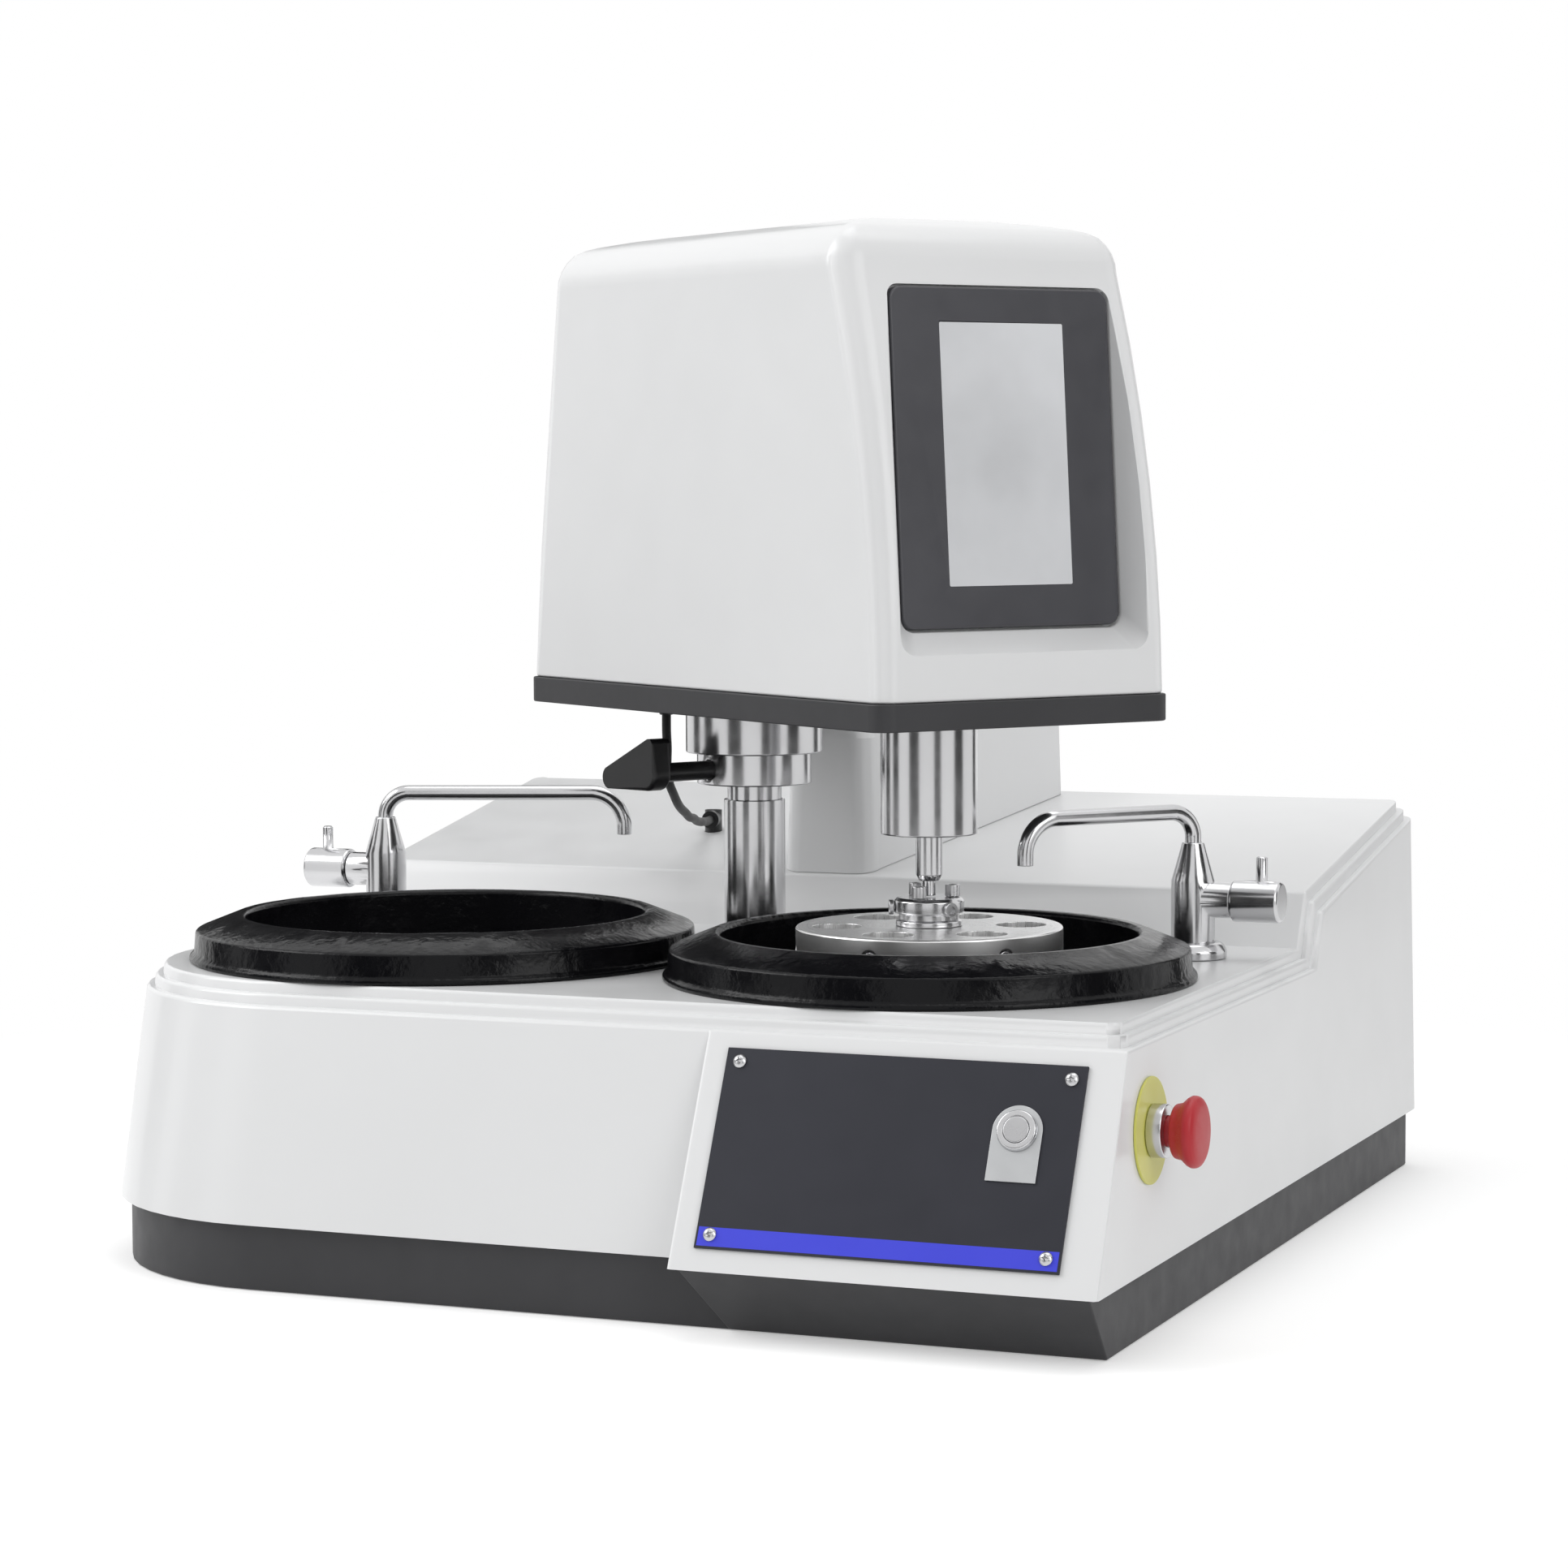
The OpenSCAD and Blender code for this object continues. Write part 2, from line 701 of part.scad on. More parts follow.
// Working disc: chamfered plate with a seat for the spindle's nose and drive pins
disc_chamfer = 2;
module working_disc(side) {
    color([0.3, 0.31, 0.33]) at_disc(side)
        difference() {
            translate([0, 0, disc_low + seat / 2]) rotate_extrude($fn = 96)
                polygon([[0, 0], [disc_d / 2 - disc_chamfer, 0], [disc_d / 2, disc_chamfer],
                    [disc_d / 2, disc_t - disc_chamfer / 2], [disc_d / 2 - disc_chamfer / 2, disc_t],
                    [0, disc_t]]);
            translate([0, 0, disc_low - cut]) cylinder(d = nose_d + seat, h = nose_h + seat + cut);
            for (a = [0, 180]) rotate([0, 0, a]) translate([drive_pin_r, 0, disc_low - cut])
                cylinder(d = drive_pin_d + seat, h = nose_h + seat + cut);
        }
}

module abrasive(side) {
    color([0.09, 0.09, 0.09]) at_disc(side)
        translate([0, 0, disc_low + disc_t + seat]) cylinder(d = disc_d - 2 * disc_chamfer, h = sheet_t, $fn = 96);
}

// Flat pulley whose belt runs between two lips
pulley_lip = 1.5;
module pulley(d, bore) {
    difference() {
        rotate_extrude($fn = 96)
            polygon([[0, 0], [d / 2 + pulley_lip, 0], [d / 2 + pulley_lip, pulley_lip], [d / 2, pulley_lip],
                [d / 2, pulley_w - pulley_lip], [d / 2 + pulley_lip, pulley_w - pulley_lip],
                [d / 2 + pulley_lip, pulley_w], [0, pulley_w]]);
        translate([0, 0, -cut]) cylinder(d = bore + seat, h = pulley_w + 2 * cut);
    }
}

module disc_pulley(side) {
    color(steel) at_disc(side) translate([0, 0, pulley_z]) pulley(pulley_d, spindle_d);
}

module motor_pulley(side) {
    color(steel) at_motor(side) translate([0, 0, pulley_z]) pulley(motor_pulley_d, motor_shaft_d);
}

module motor_shaft(side) {
    color(chrome) at_motor(side)
        translate([0, 0, pulley_z - 2]) cylinder(d = motor_shaft_d, h = frame_z + motor_h / 2 - pulley_z);
}

module drive_motors() {
    color([0.2, 0.22, 0.26])
        for (side = [-1, 1]) at_motor(side)
            difference() {
                union() {
                    translate([0, 0, frame_z + seat]) cylinder(d = motor_d, h = motor_h * 0.12);
                    translate([0, 0, frame_z + seat]) cylinder(d = motor_d * 0.92, h = motor_h * 0.9);
                    translate([0, 0, frame_z + seat]) cylinder(d = motor_d * 0.8, h = motor_h);
                }
                translate([0, 0, frame_z - cut])
                    cylinder(d = motor_shaft_d + 2 * fit, h = motor_h / 2 + 2 * cut);
            }
}

// Outline of a belt run over two pulleys, with fine arcs and straight tangents
belt_n = 48;
function belt_outline(grow) =
    let (r1 = pulley_d / 2 + grow, r2 = motor_pulley_d / 2 + grow, a = acos((r1 - r2) / motor_back))
    concat(arc(0, 0, r1, 90 + a, 450 - a, belt_n), arc(0, motor_back, r2, 90 - a, 90 + a, belt_n));

belt_gap = 0.3;
module drive_belts() {
    color(black)
        for (side = [-1, 1]) at_disc(side) translate([0, 0, pulley_z + 3])
            linear_extrude(pulley_w - 6)
                difference() {
                    polygon(belt_outline(belt_gap + belt_t));
                    polygon(belt_outline(belt_gap));
                }
}

// Bowls: splash rim over the deck and a basin below it, with a drain stub
bowl_rim_h = 19;
bowl_lip = 3;
drain_r = bowl_in_d / 2 - 24;
drain_stub_d = 22;
drain_stub_h = 15;
rim_top = spindle_flange_z - 4;

module bowl() {
    outer = bowl_d / 2;
    inner = bowl_in_d / 2;
    crest = deck_z + bowl_rise;
    difference() {
        union() {
            rotate_extrude($fn = 128)
                polygon([[outer, deck_z + seat], [outer, deck_z + bowl_lip], [outer - bowl_lip, deck_z + 2 * bowl_lip],
                    [outer - bowl_lip - 1, deck_z + bowl_rim_h - 1], [outer - bowl_lip - 3, deck_z + bowl_rim_h],
                    [inner + 6, crest], [inner + 2, crest], [inner, crest - 2],
                    [inner, bowl_floor_z + bowl_t], [rim_d / 2, bowl_floor_z + bowl_t], [rim_d / 2, rim_top],
                    [rim_d / 2 - bowl_t, rim_top], [rim_d / 2 - bowl_t, bowl_floor_z],
                    [inner + bowl_t, bowl_floor_z], [inner + bowl_t, crest - 1.4 * bowl_t],
                    [inner + 6, crest - 1.4 * bowl_t],
                    [outer - bowl_lip - bowl_t - 3, deck_z + bowl_rim_h - bowl_t],
                    [outer - bowl_lip - bowl_t, deck_z + 2 * bowl_lip],
                    [outer - bowl_lip - bowl_t, deck_z + seat]]);
            translate([0, drain_r, bowl_floor_z - drain_stub_h])
                cylinder(d = drain_stub_d, h = drain_stub_h + bowl_t / 2);
        }
        translate([0, drain_r, bowl_floor_z - drain_stub_h - cut])
            cylinder(d = drain_stub_d - 2 * bowl_t, h = drain_stub_h + bowl_t + 2 * cut);
    }
}

module bowls() {
    color(black) on_both_sides() bowl();
}

// Column: fixed tube, rising rod and lift cylinder
foot_h = 8;
ram_d = rod_d * 0.58;
rod_low = 62;
ram_top = 122;
rod_top = head_z - 3;

module column_foot() {
    color(black) translate([0, 0, deck_z + seat])
        difference() {
            rotate_extrude()
                polygon([[column_d / 2, 0], [foot_d / 2, 0], [foot_d / 2, foot_h * 0.6],
                    [foot_d / 2 - foot_h * 0.4, foot_h], [column_d / 2, foot_h]]);
            translate([0, 0, -cut]) cylinder(d = column_d + 2 * seat, h = foot_h + 2 * cut);
        }
}

module column_tube() {
    color(chrome) translate([0, 0, floor_t + seat])
        tube(column_d, rod_d + 2 * fit, column_top - floor_t - seat);
}

module column_rod() {
    color(chrome)
        difference() {
            translate([0, 0, rod_low]) cylinder(d = rod_d, h = rod_top - rod_low);
            translate([0, 0, rod_low - cut]) cylinder(d = ram_d + 2 * fit, h = ram_top + 4 - rod_low + cut);
        }
}

module lift_cylinder() {
    color(steel) {
        translate([0, 0, floor_t + seat]) cylinder(d = rod_d - 1, h = rod_low - seat - floor_t - seat);
        translate([0, 0, floor_t + cut]) cylinder(d = ram_d, h = ram_top - floor_t - cut);
    }
}

// Clamp collar under the head plate, its radial clamp screw and lever
clamp_z = collar_z + collar_step / 2;
clamp_tip = rod_d / 2 + 0.5;
lever_t = 14;
lever_r = collar_d / 2 + 36;
module at_clamp() {
    rotate([0, 0, clamp_angle]) translate([0, 0, clamp_z]) rotate([0, 90, 0]) children();
}

module clamp_collar() {
    color(chrome)
        difference() {
            union() {
                translate([0, 0, collar_z]) cylinder(d = collar_d, h = collar_step + cut);
                translate([0, 0, collar_z + collar_step])
                    cylinder(d = collar_top_d, h = head_z - seat - collar_z - collar_step);
            }
            translate([0, 0, collar_z - cut]) cylinder(d = rod_d + 2 * fit, h = head_z - collar_z + 2 * cut);
            at_clamp() translate([0, 0, rod_d / 4]) cylinder(d = clamp_screw_d + 2 * fit, h = collar_d);
        }
}

module clamp_screw() {
    color(black) at_clamp()
        translate([0, 0, clamp_tip]) cylinder(d = clamp_screw_d, h = lever_r + lever_t / 2 - clamp_tip);
}

// Lever: a wing-shaped grip in the plane square to the screw
hub_r = clamp_screw_d - 1;
module clamp_lever() {
    color(black) at_clamp()
        translate([0, 0, lever_r])
            difference() {
                linear_extrude(lever_t)
                    hull() {
                        circle(r = hub_r, $fn = 32);
                        translate([-hub_r * 1.6, hub_r * 0.4]) circle(r = hub_r * 0.4, $fn = 32);
                        translate([hub_r * 0.4, -lever_len]) circle(r = hub_r * 0.65, $fn = 32);
                    }
                translate([0, 0, -cut]) cylinder(d = clamp_screw_d + seat, h = lever_t / 2 + cut);
            }
}

// Head plate
head_front = arm_len + head_ahead;
plate_r = 12;
head_gland_x = -head_behind + 14;
head_gland_y = -7.4;
gland_d = 16;
gland_thread_d = 12;
gland_h = 12;

module head_plate() {
    color(dark)
        in_head()
            difference() {
                translate([0, 0, head_z]) linear_extrude(head_plate_t)
                    polygon(plan(-head_behind, head_front, -head_w / 2, head_w / 2,
                        [plate_r, plate_r, plate_r, plate_r]));
                translate([arm_len, 0, head_z - cut])
                    cylinder(d = sleeve_d + 2 * loose, h = head_plate_t + 2 * cut);
                translate([head_gland_x, head_gland_y, head_z - cut])
                    cylinder(d = gland_thread_d + loose, h = head_plate_t + 2 * cut);
            }
}

// Head cover: sides that lean in and round over into a crowned roof
cover_z = head_z + head_plate_t + seat;
cover_curve = 2.05;
cover_back_curve = 1.3;
cover_shoulder = cover_h - cover_r - cover_crown;
cover_corner_low = 12;
cover_corner_high = 18;
arc_steps = 6;
roof_steps = 4;
wall_steps = 6;
roof_min = 16;

function cover_outline(h, inset, t) =
    let (s = h / cover_h,
        x0 = -head_behind + cover_inset + cover_back_lean * pow(s, cover_back_curve) + inset + t,
        x1 = head_front - cover_inset - cover_front_lean * pow(s, cover_curve) - inset - t,
        y = head_w / 2 - cover_inset - cover_side_lean * s - inset - t,
        grown = cover_corner_low + (cover_corner_high - cover_corner_low) * s,
        r = min(max(grown - inset - t, 6), y - 1))
    plan(x0, x1, -y, y, [r, r, r, r]);

function cover_rings(t, base) = let (half = head_w / 2 - cover_inset - cover_side_lean) concat(
    [for (i = [0:wall_steps])
        let (h = base + (cover_shoulder - base) * i / wall_steps)
        raise(cover_outline(max(h, 0), 0, t), cover_z + h)],
    [for (i = [1:arc_steps])
        let (a = 80 * i / arc_steps)
        raise(cover_outline(cover_shoulder, cover_r * (1 - cos(a)), t),
            cover_z + cover_shoulder + (cover_r - t) * sin(a))],
    [for (i = [1:roof_steps])
        let (s = i / roof_steps, edge = cover_r * (1 - cos(80)))
        raise(cover_outline(cover_shoulder, edge + (half - edge - roof_min) * s, t),
            cover_z + cover_shoulder + (cover_r - t) * sin(80) + cover_crown * (1 - pow(1 - s, 2)))]);

// Screen in its pocket: +X runs out of the screen, +Y across it, +Z up it
screen_shift = 5;
screen_sink = 22;
screen_z = head_z + head_plate_t + screen_lift;
screen_x = head_front - cover_inset - screen_sink - screen_t;
screen_r = 8;
pocket_gap = 1.5;
pocket_wall = 3;
pocket_flare = 15;
module at_screen() {
    in_head() translate([screen_x, screen_shift, screen_z]) rotate([0, -screen_tilt, 0]) children();
}

module screen_block(w, h, t, r) {
    rotate([90, 0, 90]) linear_extrude(t)
        polygon(plan(-w / 2, w / 2, 0, h, [r, r, r, r]));
}

// The pocket flares towards the front, most at its lower and left walls
module pocket_cut() {
    w = screen_w / 2 + pocket_gap;
    r = screen_r;
    deep = screen_sink * 3;
    grow = pocket_flare * 3;
    inner = plan(-w, w, -pocket_gap, screen_h + pocket_gap, [r, r, r, r]);
    outer = plan(-w - grow, w + grow / 4, -pocket_gap - grow, screen_h + pocket_gap + grow / 4,
        [r * 2, r * 2, r, r]);
    at_screen() rotate([90, 0, 90]) {
        rings([raise(inner, 0), raise(inner, screen_t)]);
        rings([raise(inner, screen_t - 0.01), raise(outer, screen_t + deep)]);
    }
}

// Inside of the cover behind the screen, left solid as the pocket's own wall
module pocket_wall_form() {
    w = screen_w / 2 + pocket_gap + pocket_wall;
    r = screen_r + pocket_wall;
    deep = screen_sink * 3;
    grow = pocket_flare * 3;
    inner = plan(-w, w, -pocket_gap - pocket_wall, screen_h + pocket_gap + pocket_wall, [r, r, r, r]);
    outer = plan(-w - grow, w + grow / 4, -pocket_gap - pocket_wall - grow,
        screen_h + pocket_gap + pocket_wall + grow / 4, [r * 2, r * 2, r, r]);
    at_screen() rotate([90, 0, 90])
        rings([raise(inner, -pocket_wall), raise(inner, screen_t), raise(outer, screen_t + deep)]);
}

module head_cover() {
    color(white)
        difference() {
            in_head() rings(cover_rings(0, 0));
            difference() {
                in_head() rings(cover_rings(cover_t, -cut));
                pocket_wall_form();
            }
            pocket_cut();
        }
}

module screen_frame() {
    color([0.27, 0.27, 0.3])
        at_screen() translate([seat, 0, 0])
            difference() {
                screen_block(screen_w, screen_h, screen_t, screen_r);
                translate([screen_t / 2, 0, (screen_h - glass_h) / 2 + 2])
                    screen_block(glass_w, glass_h, screen_t, 1);
            }
}

module screen_glass() {
    color([0.85, 0.86, 0.87])
        at_screen() translate([screen_t / 2 + 2 * seat, 0, (screen_h - glass_h) / 2 + 2 + seat])
            screen_block(glass_w - 2 * seat, glass_h - 2 * seat, screen_t / 2 - seat, 1);
}

// Head motor: hollow-shaft geared motor that turns the drive sleeve
head_motor_d = 96;
head_motor_h = 130;
gearbox_h = 44;
sleeve_low = quill_z + 2;
sleeve_top = cover_z + gearbox_h;
shaft_low = holder_top + 18;
shaft_top = sleeve_top - 12;

module head_motor() {
    color([0.2, 0.22, 0.26])
        at_spindle()
            difference() {
                union() {
                    translate([-head_motor_d / 2 - 30, -head_motor_d / 2, cover_z])
                        cube([head_motor_d + 30, head_motor_d, gearbox_h]);
                    translate([0, 0, cover_z + gearbox_h - cut]) cylinder(d = head_motor_d, h = head_motor_h - gearbox_h);
                }
                translate([0, 0, cover_z - cut])
                    cylinder(d = sleeve_d + 2 * fit, h = gearbox_h + feed_travel + cut);
            }
}

module quill() {
    color(chrome) at_spindle() translate([0, 0, quill_z])
        tube(quill_d, sleeve_d + 2 * fit, head_z - seat - quill_z);
}

module drive_sleeve() {
    color(steel) at_spindle() translate([0, 0, sleeve_low])
        tube(sleeve_d, shaft_d + 2 * fit, sleeve_top - sleeve_low);
}

// Working shaft with its dark ring and the slim neck that enters the hub
neck_d = shaft_d / 2;
ring_z = holder_top + 27;
ring_h = 4;
module working_shaft() {
    color(chrome) at_spindle()
        union() {
            translate([0, 0, ring_z + ring_h]) cylinder(d = shaft_d, h = shaft_top - ring_z - ring_h);
            translate([0, 0, ring_z]) cylinder(d1 = shaft_d - 4, d2 = shaft_d, h = ring_h);
            translate([0, 0, shaft_low]) cylinder(d = neck_d, h = ring_z - shaft_low + cut);
        }
}

// Holder hub: stepped boss on the holder with cap screws on top and ear screws at its sides
hub_d = 42;
hub_flange_d = 40;
hub_waist_d = 36;
hub_top = holder_top + 17;
hub_bolt_d = 9;
hub_bolt_r = hub_d / 2 - 7;
module holder_hub() {
    color(chrome) at_spindle() translate([0, 0, holder_top + seat])
        difference() {
            rotate_extrude()
                polygon([[0, 0], [hub_flange_d / 2, 0], [hub_flange_d / 2, 3], [hub_waist_d / 2, 4],
                    [hub_waist_d / 2, 7], [hub_d / 2, 8], [hub_d / 2, 15], [hub_d / 2 - 2, 17], [0, 17]]);
            translate([0, 0, shaft_low - holder_top - 2 * seat]) cylinder(d = neck_d + 2 * fit, h = hub_d);
            for (a = [0:2]) rotate([0, 0, 60 + 120 * a]) translate([hub_bolt_r, 0, 17 - hub_bolt_d])
                cylinder(d = hub_bolt_d / 2 + seat, h = hub_bolt_d + cut);
            for (a = [0:2]) rotate([0, 0, 120 * a]) translate([hub_d / 2 - 6, 0, 11]) rotate([0, 90, 0])
                cylinder(d = hub_bolt_d / 2 + seat, h = hub_bolt_d);
        }
}

// Specimen holder: a disc with one hole and one rim screw for each specimen
rim_screw_d = 6;
rim_bore_d = 11;
rim_bore_deep = 6;
screw_z = holder_top - holder_t / 2;
step_angle = 360 / specimen_count;
module each_specimen() {
    for (i = [0:specimen_count - 1]) rotate([0, 0, i * step_angle]) children();
}

module specimen_holder() {
    color(chrome) at_spindle()
        difference() {
            translate([0, 0, holder_top - holder_t]) rotate_extrude($fn = 96)
                polygon([[0, 0], [holder_d / 2 - 1, 0], [holder_d / 2, 1],
                    [holder_d / 2, holder_t - 1], [holder_d / 2 - 1, holder_t], [0, holder_t]]);
            each_specimen() {
                translate([specimen_pcd / 2, 0, holder_top - holder_t - cut])
                    cylinder(d = specimen_d, h = holder_t + 2 * cut);
                translate([holder_d / 2 - rim_bore_deep, 0, screw_z]) rotate([0, 90, 0])
                    cylinder(d = rim_bore_d, h = rim_bore_deep + cut);
                translate([specimen_pcd / 2, 0, screw_z]) rotate([0, 90, 0])
                    cylinder(d = rim_screw_d + seat, h = holder_d / 2 - specimen_pcd / 2);
            }
        }
}

module holder_screws() {
    color(steel) at_spindle() {
        each_specimen() translate([specimen_pcd / 2 + specimen_d / 2 + seat, 0, screw_z]) rotate([0, 90, 0]) {
            cylinder(d = rim_screw_d, h = holder_d / 2 - specimen_pcd / 2 - specimen_d / 2 - 1);
            translate([0, 0, holder_d / 2 - rim_bore_deep - specimen_pcd / 2 - specimen_d / 2])
                cylinder(d = rim_screw_d + 2, h = rim_bore_deep - 1, $fn = 32);
        }
        translate([0, 0, holder_top + seat]) {
            for (a = [0:2]) rotate([0, 0, 60 + 120 * a]) translate([hub_bolt_r, 0, 0]) {
                translate([0, 0, 17 + seat]) cylinder(d = hub_bolt_d, h = hub_bolt_d * 0.8);
                translate([0, 0, 17 - hub_bolt_d + seat]) cylinder(d = hub_bolt_d / 2, h = hub_bolt_d);
            }
            for (a = [0:2]) rotate([0, 0, 120 * a]) translate([0, 0, 11]) rotate([0, 90, 0]) {
                translate([0, 0, hub_d / 2 + seat]) cylinder(d = hub_bolt_d, h = 3);
                translate([0, 0, hub_d / 2 - 6 + seat]) cylinder(d = hub_bolt_d / 2, h = 6);
            }
        }
    }
}

// Control panel, its screws, and the power button
module panel_plate() {
    color([0.27, 0.27, 0.31])
        difference() {
            at_console(panel_left, panel_lift) translate([0, 0, seat]) cube([panel_w, panel_h, panel_t]);
            at_panel_screws() cylinder(d = panel_screw_d + loose, h = panel_t + 2 * cut);
            at_console(button_x, button_s) cylinder(d = button_thread_d + loose, h = panel_t + 2 * cut);
        }
}

panel_top = seat + panel_t;
screw_head_d = 2 * panel_screw_d;
module panel_screws() {
    color(chrome) at_panel_screws() {
        translate([0, 0, -2 * shell_t]) cylinder(d = panel_screw_d, h = 2 * shell_t + panel_top + 0.5);
        translate([0, 0, panel_top + 0.1]) rotate_extrude()
            polygon([[0, 0], [screw_head_d / 2, 0], [screw_head_d / 2, 0.6], [screw_head_d * 0.36, 1.8],
                [screw_head_d / 5, 2.3], [0, 2.4]]);
    }
}

button_plate_t = 1;
plate_drop = button_plate_w;
module button_plate() {
    color([0.85, 0.87, 0.9])
        at_console(button_x, button_s) translate([0, 0, panel_top + 0.1])
            difference() {
                union() {
                    cylinder(d = button_plate_w, h = button_plate_t);
                    translate([-button_plate_w / 2, -plate_drop, 0]) cube([button_plate_w, plate_drop, button_plate_t]);
                }
                translate([0, 0, -cut]) cylinder(d = button_thread_d + loose, h = button_plate_t + 2 * cut);
            }
}

ring_base = panel_top + 0.1 + button_plate_t + 0.1;
ring_rise = 2.5;
button_deep = 14;
module button_ring() {
    color(chrome) at_console(button_x, button_s)
        difference() {
            union() {
                translate([0, 0, ring_base]) cylinder(d1 = button_ring_d, d2 = button_ring_d - 2, h = ring_rise);
                translate([0, 0, -button_deep]) cylinder(d = button_thread_d, h = button_deep + ring_base + cut);
            }
            translate([0, 0, -button_deep + 2]) cylinder(d = button_d + 2 * fit, h = button_deep * 2);
        }
}

module power_button() {
    color(chrome) at_console(button_x, button_s)
        translate([0, 0, -button_deep + 2 + button_travel + 0.5])
            cylinder(d = button_d, h = ring_base + ring_rise + 0.4 + button_deep - 2 - button_travel - 0.5);
}

// Emergency stop
label_t = 1.5;
collar_h = 9;
estop_gap = 0.5;
estop_neck_h = 8;
estop_head_h = 8;
estop_deep = 18;
estop_base = label_t + collar_h + estop_travel + estop_gap;

module estop_label() {
    color([0.87, 0.87, 0.45]) at_estop() translate([0, 0, seat])
        tube(estop_label_d, estop_thread_d + loose, label_t);
}

module estop_collar() {
    color(chrome) at_estop()
        difference() {
            union() {
                translate([0, 0, label_t + 2 * seat]) cylinder(d = estop_collar_d, h = collar_h);
                translate([0, 0, -estop_deep]) cylinder(d = estop_thread_d, h = estop_deep + label_t + cut);
            }
            translate([0, 0, -estop_deep + 2]) cylinder(d = estop_stem_d + 2 * fit, h = estop_deep * 3);
        }
}

module estop_button() {
    color([0.78, 0.15, 0.17]) at_estop()
        union() {
            translate([0, 0, estop_base]) rotate_extrude()
                polygon([[0, 0], [estop_collar_d / 2, 0], [estop_collar_d / 2 + 1, estop_neck_h * 0.6],
                    [estop_d / 2 - 1, estop_neck_h], [estop_d / 2, estop_neck_h + 2],
                    [estop_d / 2, estop_neck_h + estop_head_h * 0.6], [estop_d / 2 - 2, estop_neck_h + estop_head_h * 0.85],
                    [estop_d / 2 - 6, estop_neck_h + estop_head_h], [0, estop_neck_h + estop_head_h + 1]]);
            translate([0, 0, -estop_deep + 2 + estop_travel + estop_gap])
                cylinder(d = estop_stem_d, h = estop_base + estop_deep - 2 - estop_travel - estop_gap + cut);
        }
}

// Water taps: body with a side neck for the valve handle and a socket for the spout
neck_len = 25.8;
stem_d = 10;
stem_len = 44;
knob_len = 31;
knob_z = tap_h * 0.76;
cone_top_d = spout_d + 3.5;
socket_h = 24;
tap_ring_d = 42;
tap_ring_h = 10;
shank_h = 22;

module tap_bodies() {
    color(chrome) for (side = [-1, 1]) at_tap(side)
        difference() {
            union() {
                rotate_extrude()
                    polygon([[0, seat], [tap_d / 2, seat], [tap_d / 2, tap_h],
                        [cone_top_d / 2, tap_h + tap_cone_h], [0, tap_h + tap_cone_h]]);
                translate([0, 0, -shank_h]) cylinder(d = tap_shank_d, h = shank_h + 2 * cut);
                translate([0, 0, knob_z]) rotate([0, 90, 0]) cylinder(d = knob_d - 4, h = neck_len);
                translate([0, 0, knob_z]) rotate([0, 90, 0]) cylinder(d = stem_d, h = stem_len);
            }
            translate([0, 0, tap_h + tap_cone_h - socket_h])
                cylinder(d = spout_d + 2 * fit, h = socket_h + cut);
        }
}

module tap_rings() {
    color(chrome) for (side = [-1, 1]) at_tap(side) {
        difference() {
            translate([0, 0, seat]) rotate_extrude()
                polygon([[tap_d / 2, 0], [tap_ring_d / 2, 0], [tap_ring_d / 2, tap_ring_h * 0.5],
                    [tap_ring_d / 2 - 2, tap_ring_h * 0.85], [tap_ring_d / 2 - 4, tap_ring_h],
                    [tap_d / 2, tap_ring_h]]);
            cylinder(d = tap_d + 2 * seat, h = tap_ring_h + 2 * cut);
        }
        translate([0, 0, -shell_t - seat - 6])
            difference() {
                cylinder(d = tap_shank_d * 2, h = 6, $fn = 6);
                translate([0, 0, -cut]) cylinder(d = tap_shank_d + 2 * seat, h = 6 + 2 * cut);
            }
    }
}

// Spout: riser, bend, level run, bend and tip, drawn along +X from the tap's axis
bend_r = 16;
tip_bend_r = 22;
tip_len = 6;
module bent(r, angle) {
    rotate([90, 0, 0]) rotate_extrude(angle = angle) translate([r, 0]) circle(d = spout_d, $fn = 32);
}

right_rise = 3;
module spout(side, reach, angle, rise) {
    riser = tap_h + tap_cone_h - socket_h + seat;
    top = tap_h + tap_cone_h + bend_r + seat + rise;
    run = reach - bend_r - tip_bend_r;
    color(chrome)
        translate([side * tap_x, tap_y, deck_z]) rotate([0, 0, angle])
            difference() {
                union() {
                    translate([0, 0, riser]) cylinder(d = spout_d, h = top - bend_r - riser);
                    translate([bend_r, 0, top - bend_r]) rotate([0, 0, 180]) bent(bend_r, 90);
                    translate([bend_r, 0, top]) rotate([0, 90, 0]) cylinder(d = spout_d, h = run);
                    translate([bend_r + run, 0, top - tip_bend_r]) bent(tip_bend_r, 90);
                    translate([reach, 0, top - tip_bend_r - tip_len]) cylinder(d = spout_d, h = tip_len);
                }
                translate([reach, 0, top - tip_bend_r - tip_len - cut])
                    cylinder(d = spout_d * 0.65, h = tip_len + cut);
            }
}

pin_d = 7;
pin_x = 44;
pin_h = 28;
module knob(side) {
    color(chrome) at_tap(side)
        difference() {
            union() {
                translate([neck_len + seat, 0, knob_z]) rotate([0, 90, 0]) rotate_extrude()
                    polygon([[0, 0], [knob_d / 2 - 1, 0], [knob_d / 2, 1], [knob_d / 2, knob_len - 1.5],
                        [knob_d / 2 - 1.5, knob_len], [0, knob_len]]);
                translate([pin_x, 0, knob_z + knob_d / 3]) cylinder(d = pin_d, h = pin_h - knob_d / 3 - 1);
                translate([pin_x, 0, knob_z + pin_h - 1]) cylinder(d1 = pin_d, d2 = pin_d - 2, h = 1);
            }
            translate([neck_len, 0, knob_z]) rotate([0, 90, 0])
                cylinder(d = stem_d + 2 * fit, h = stem_len - neck_len + seat);
        }
}

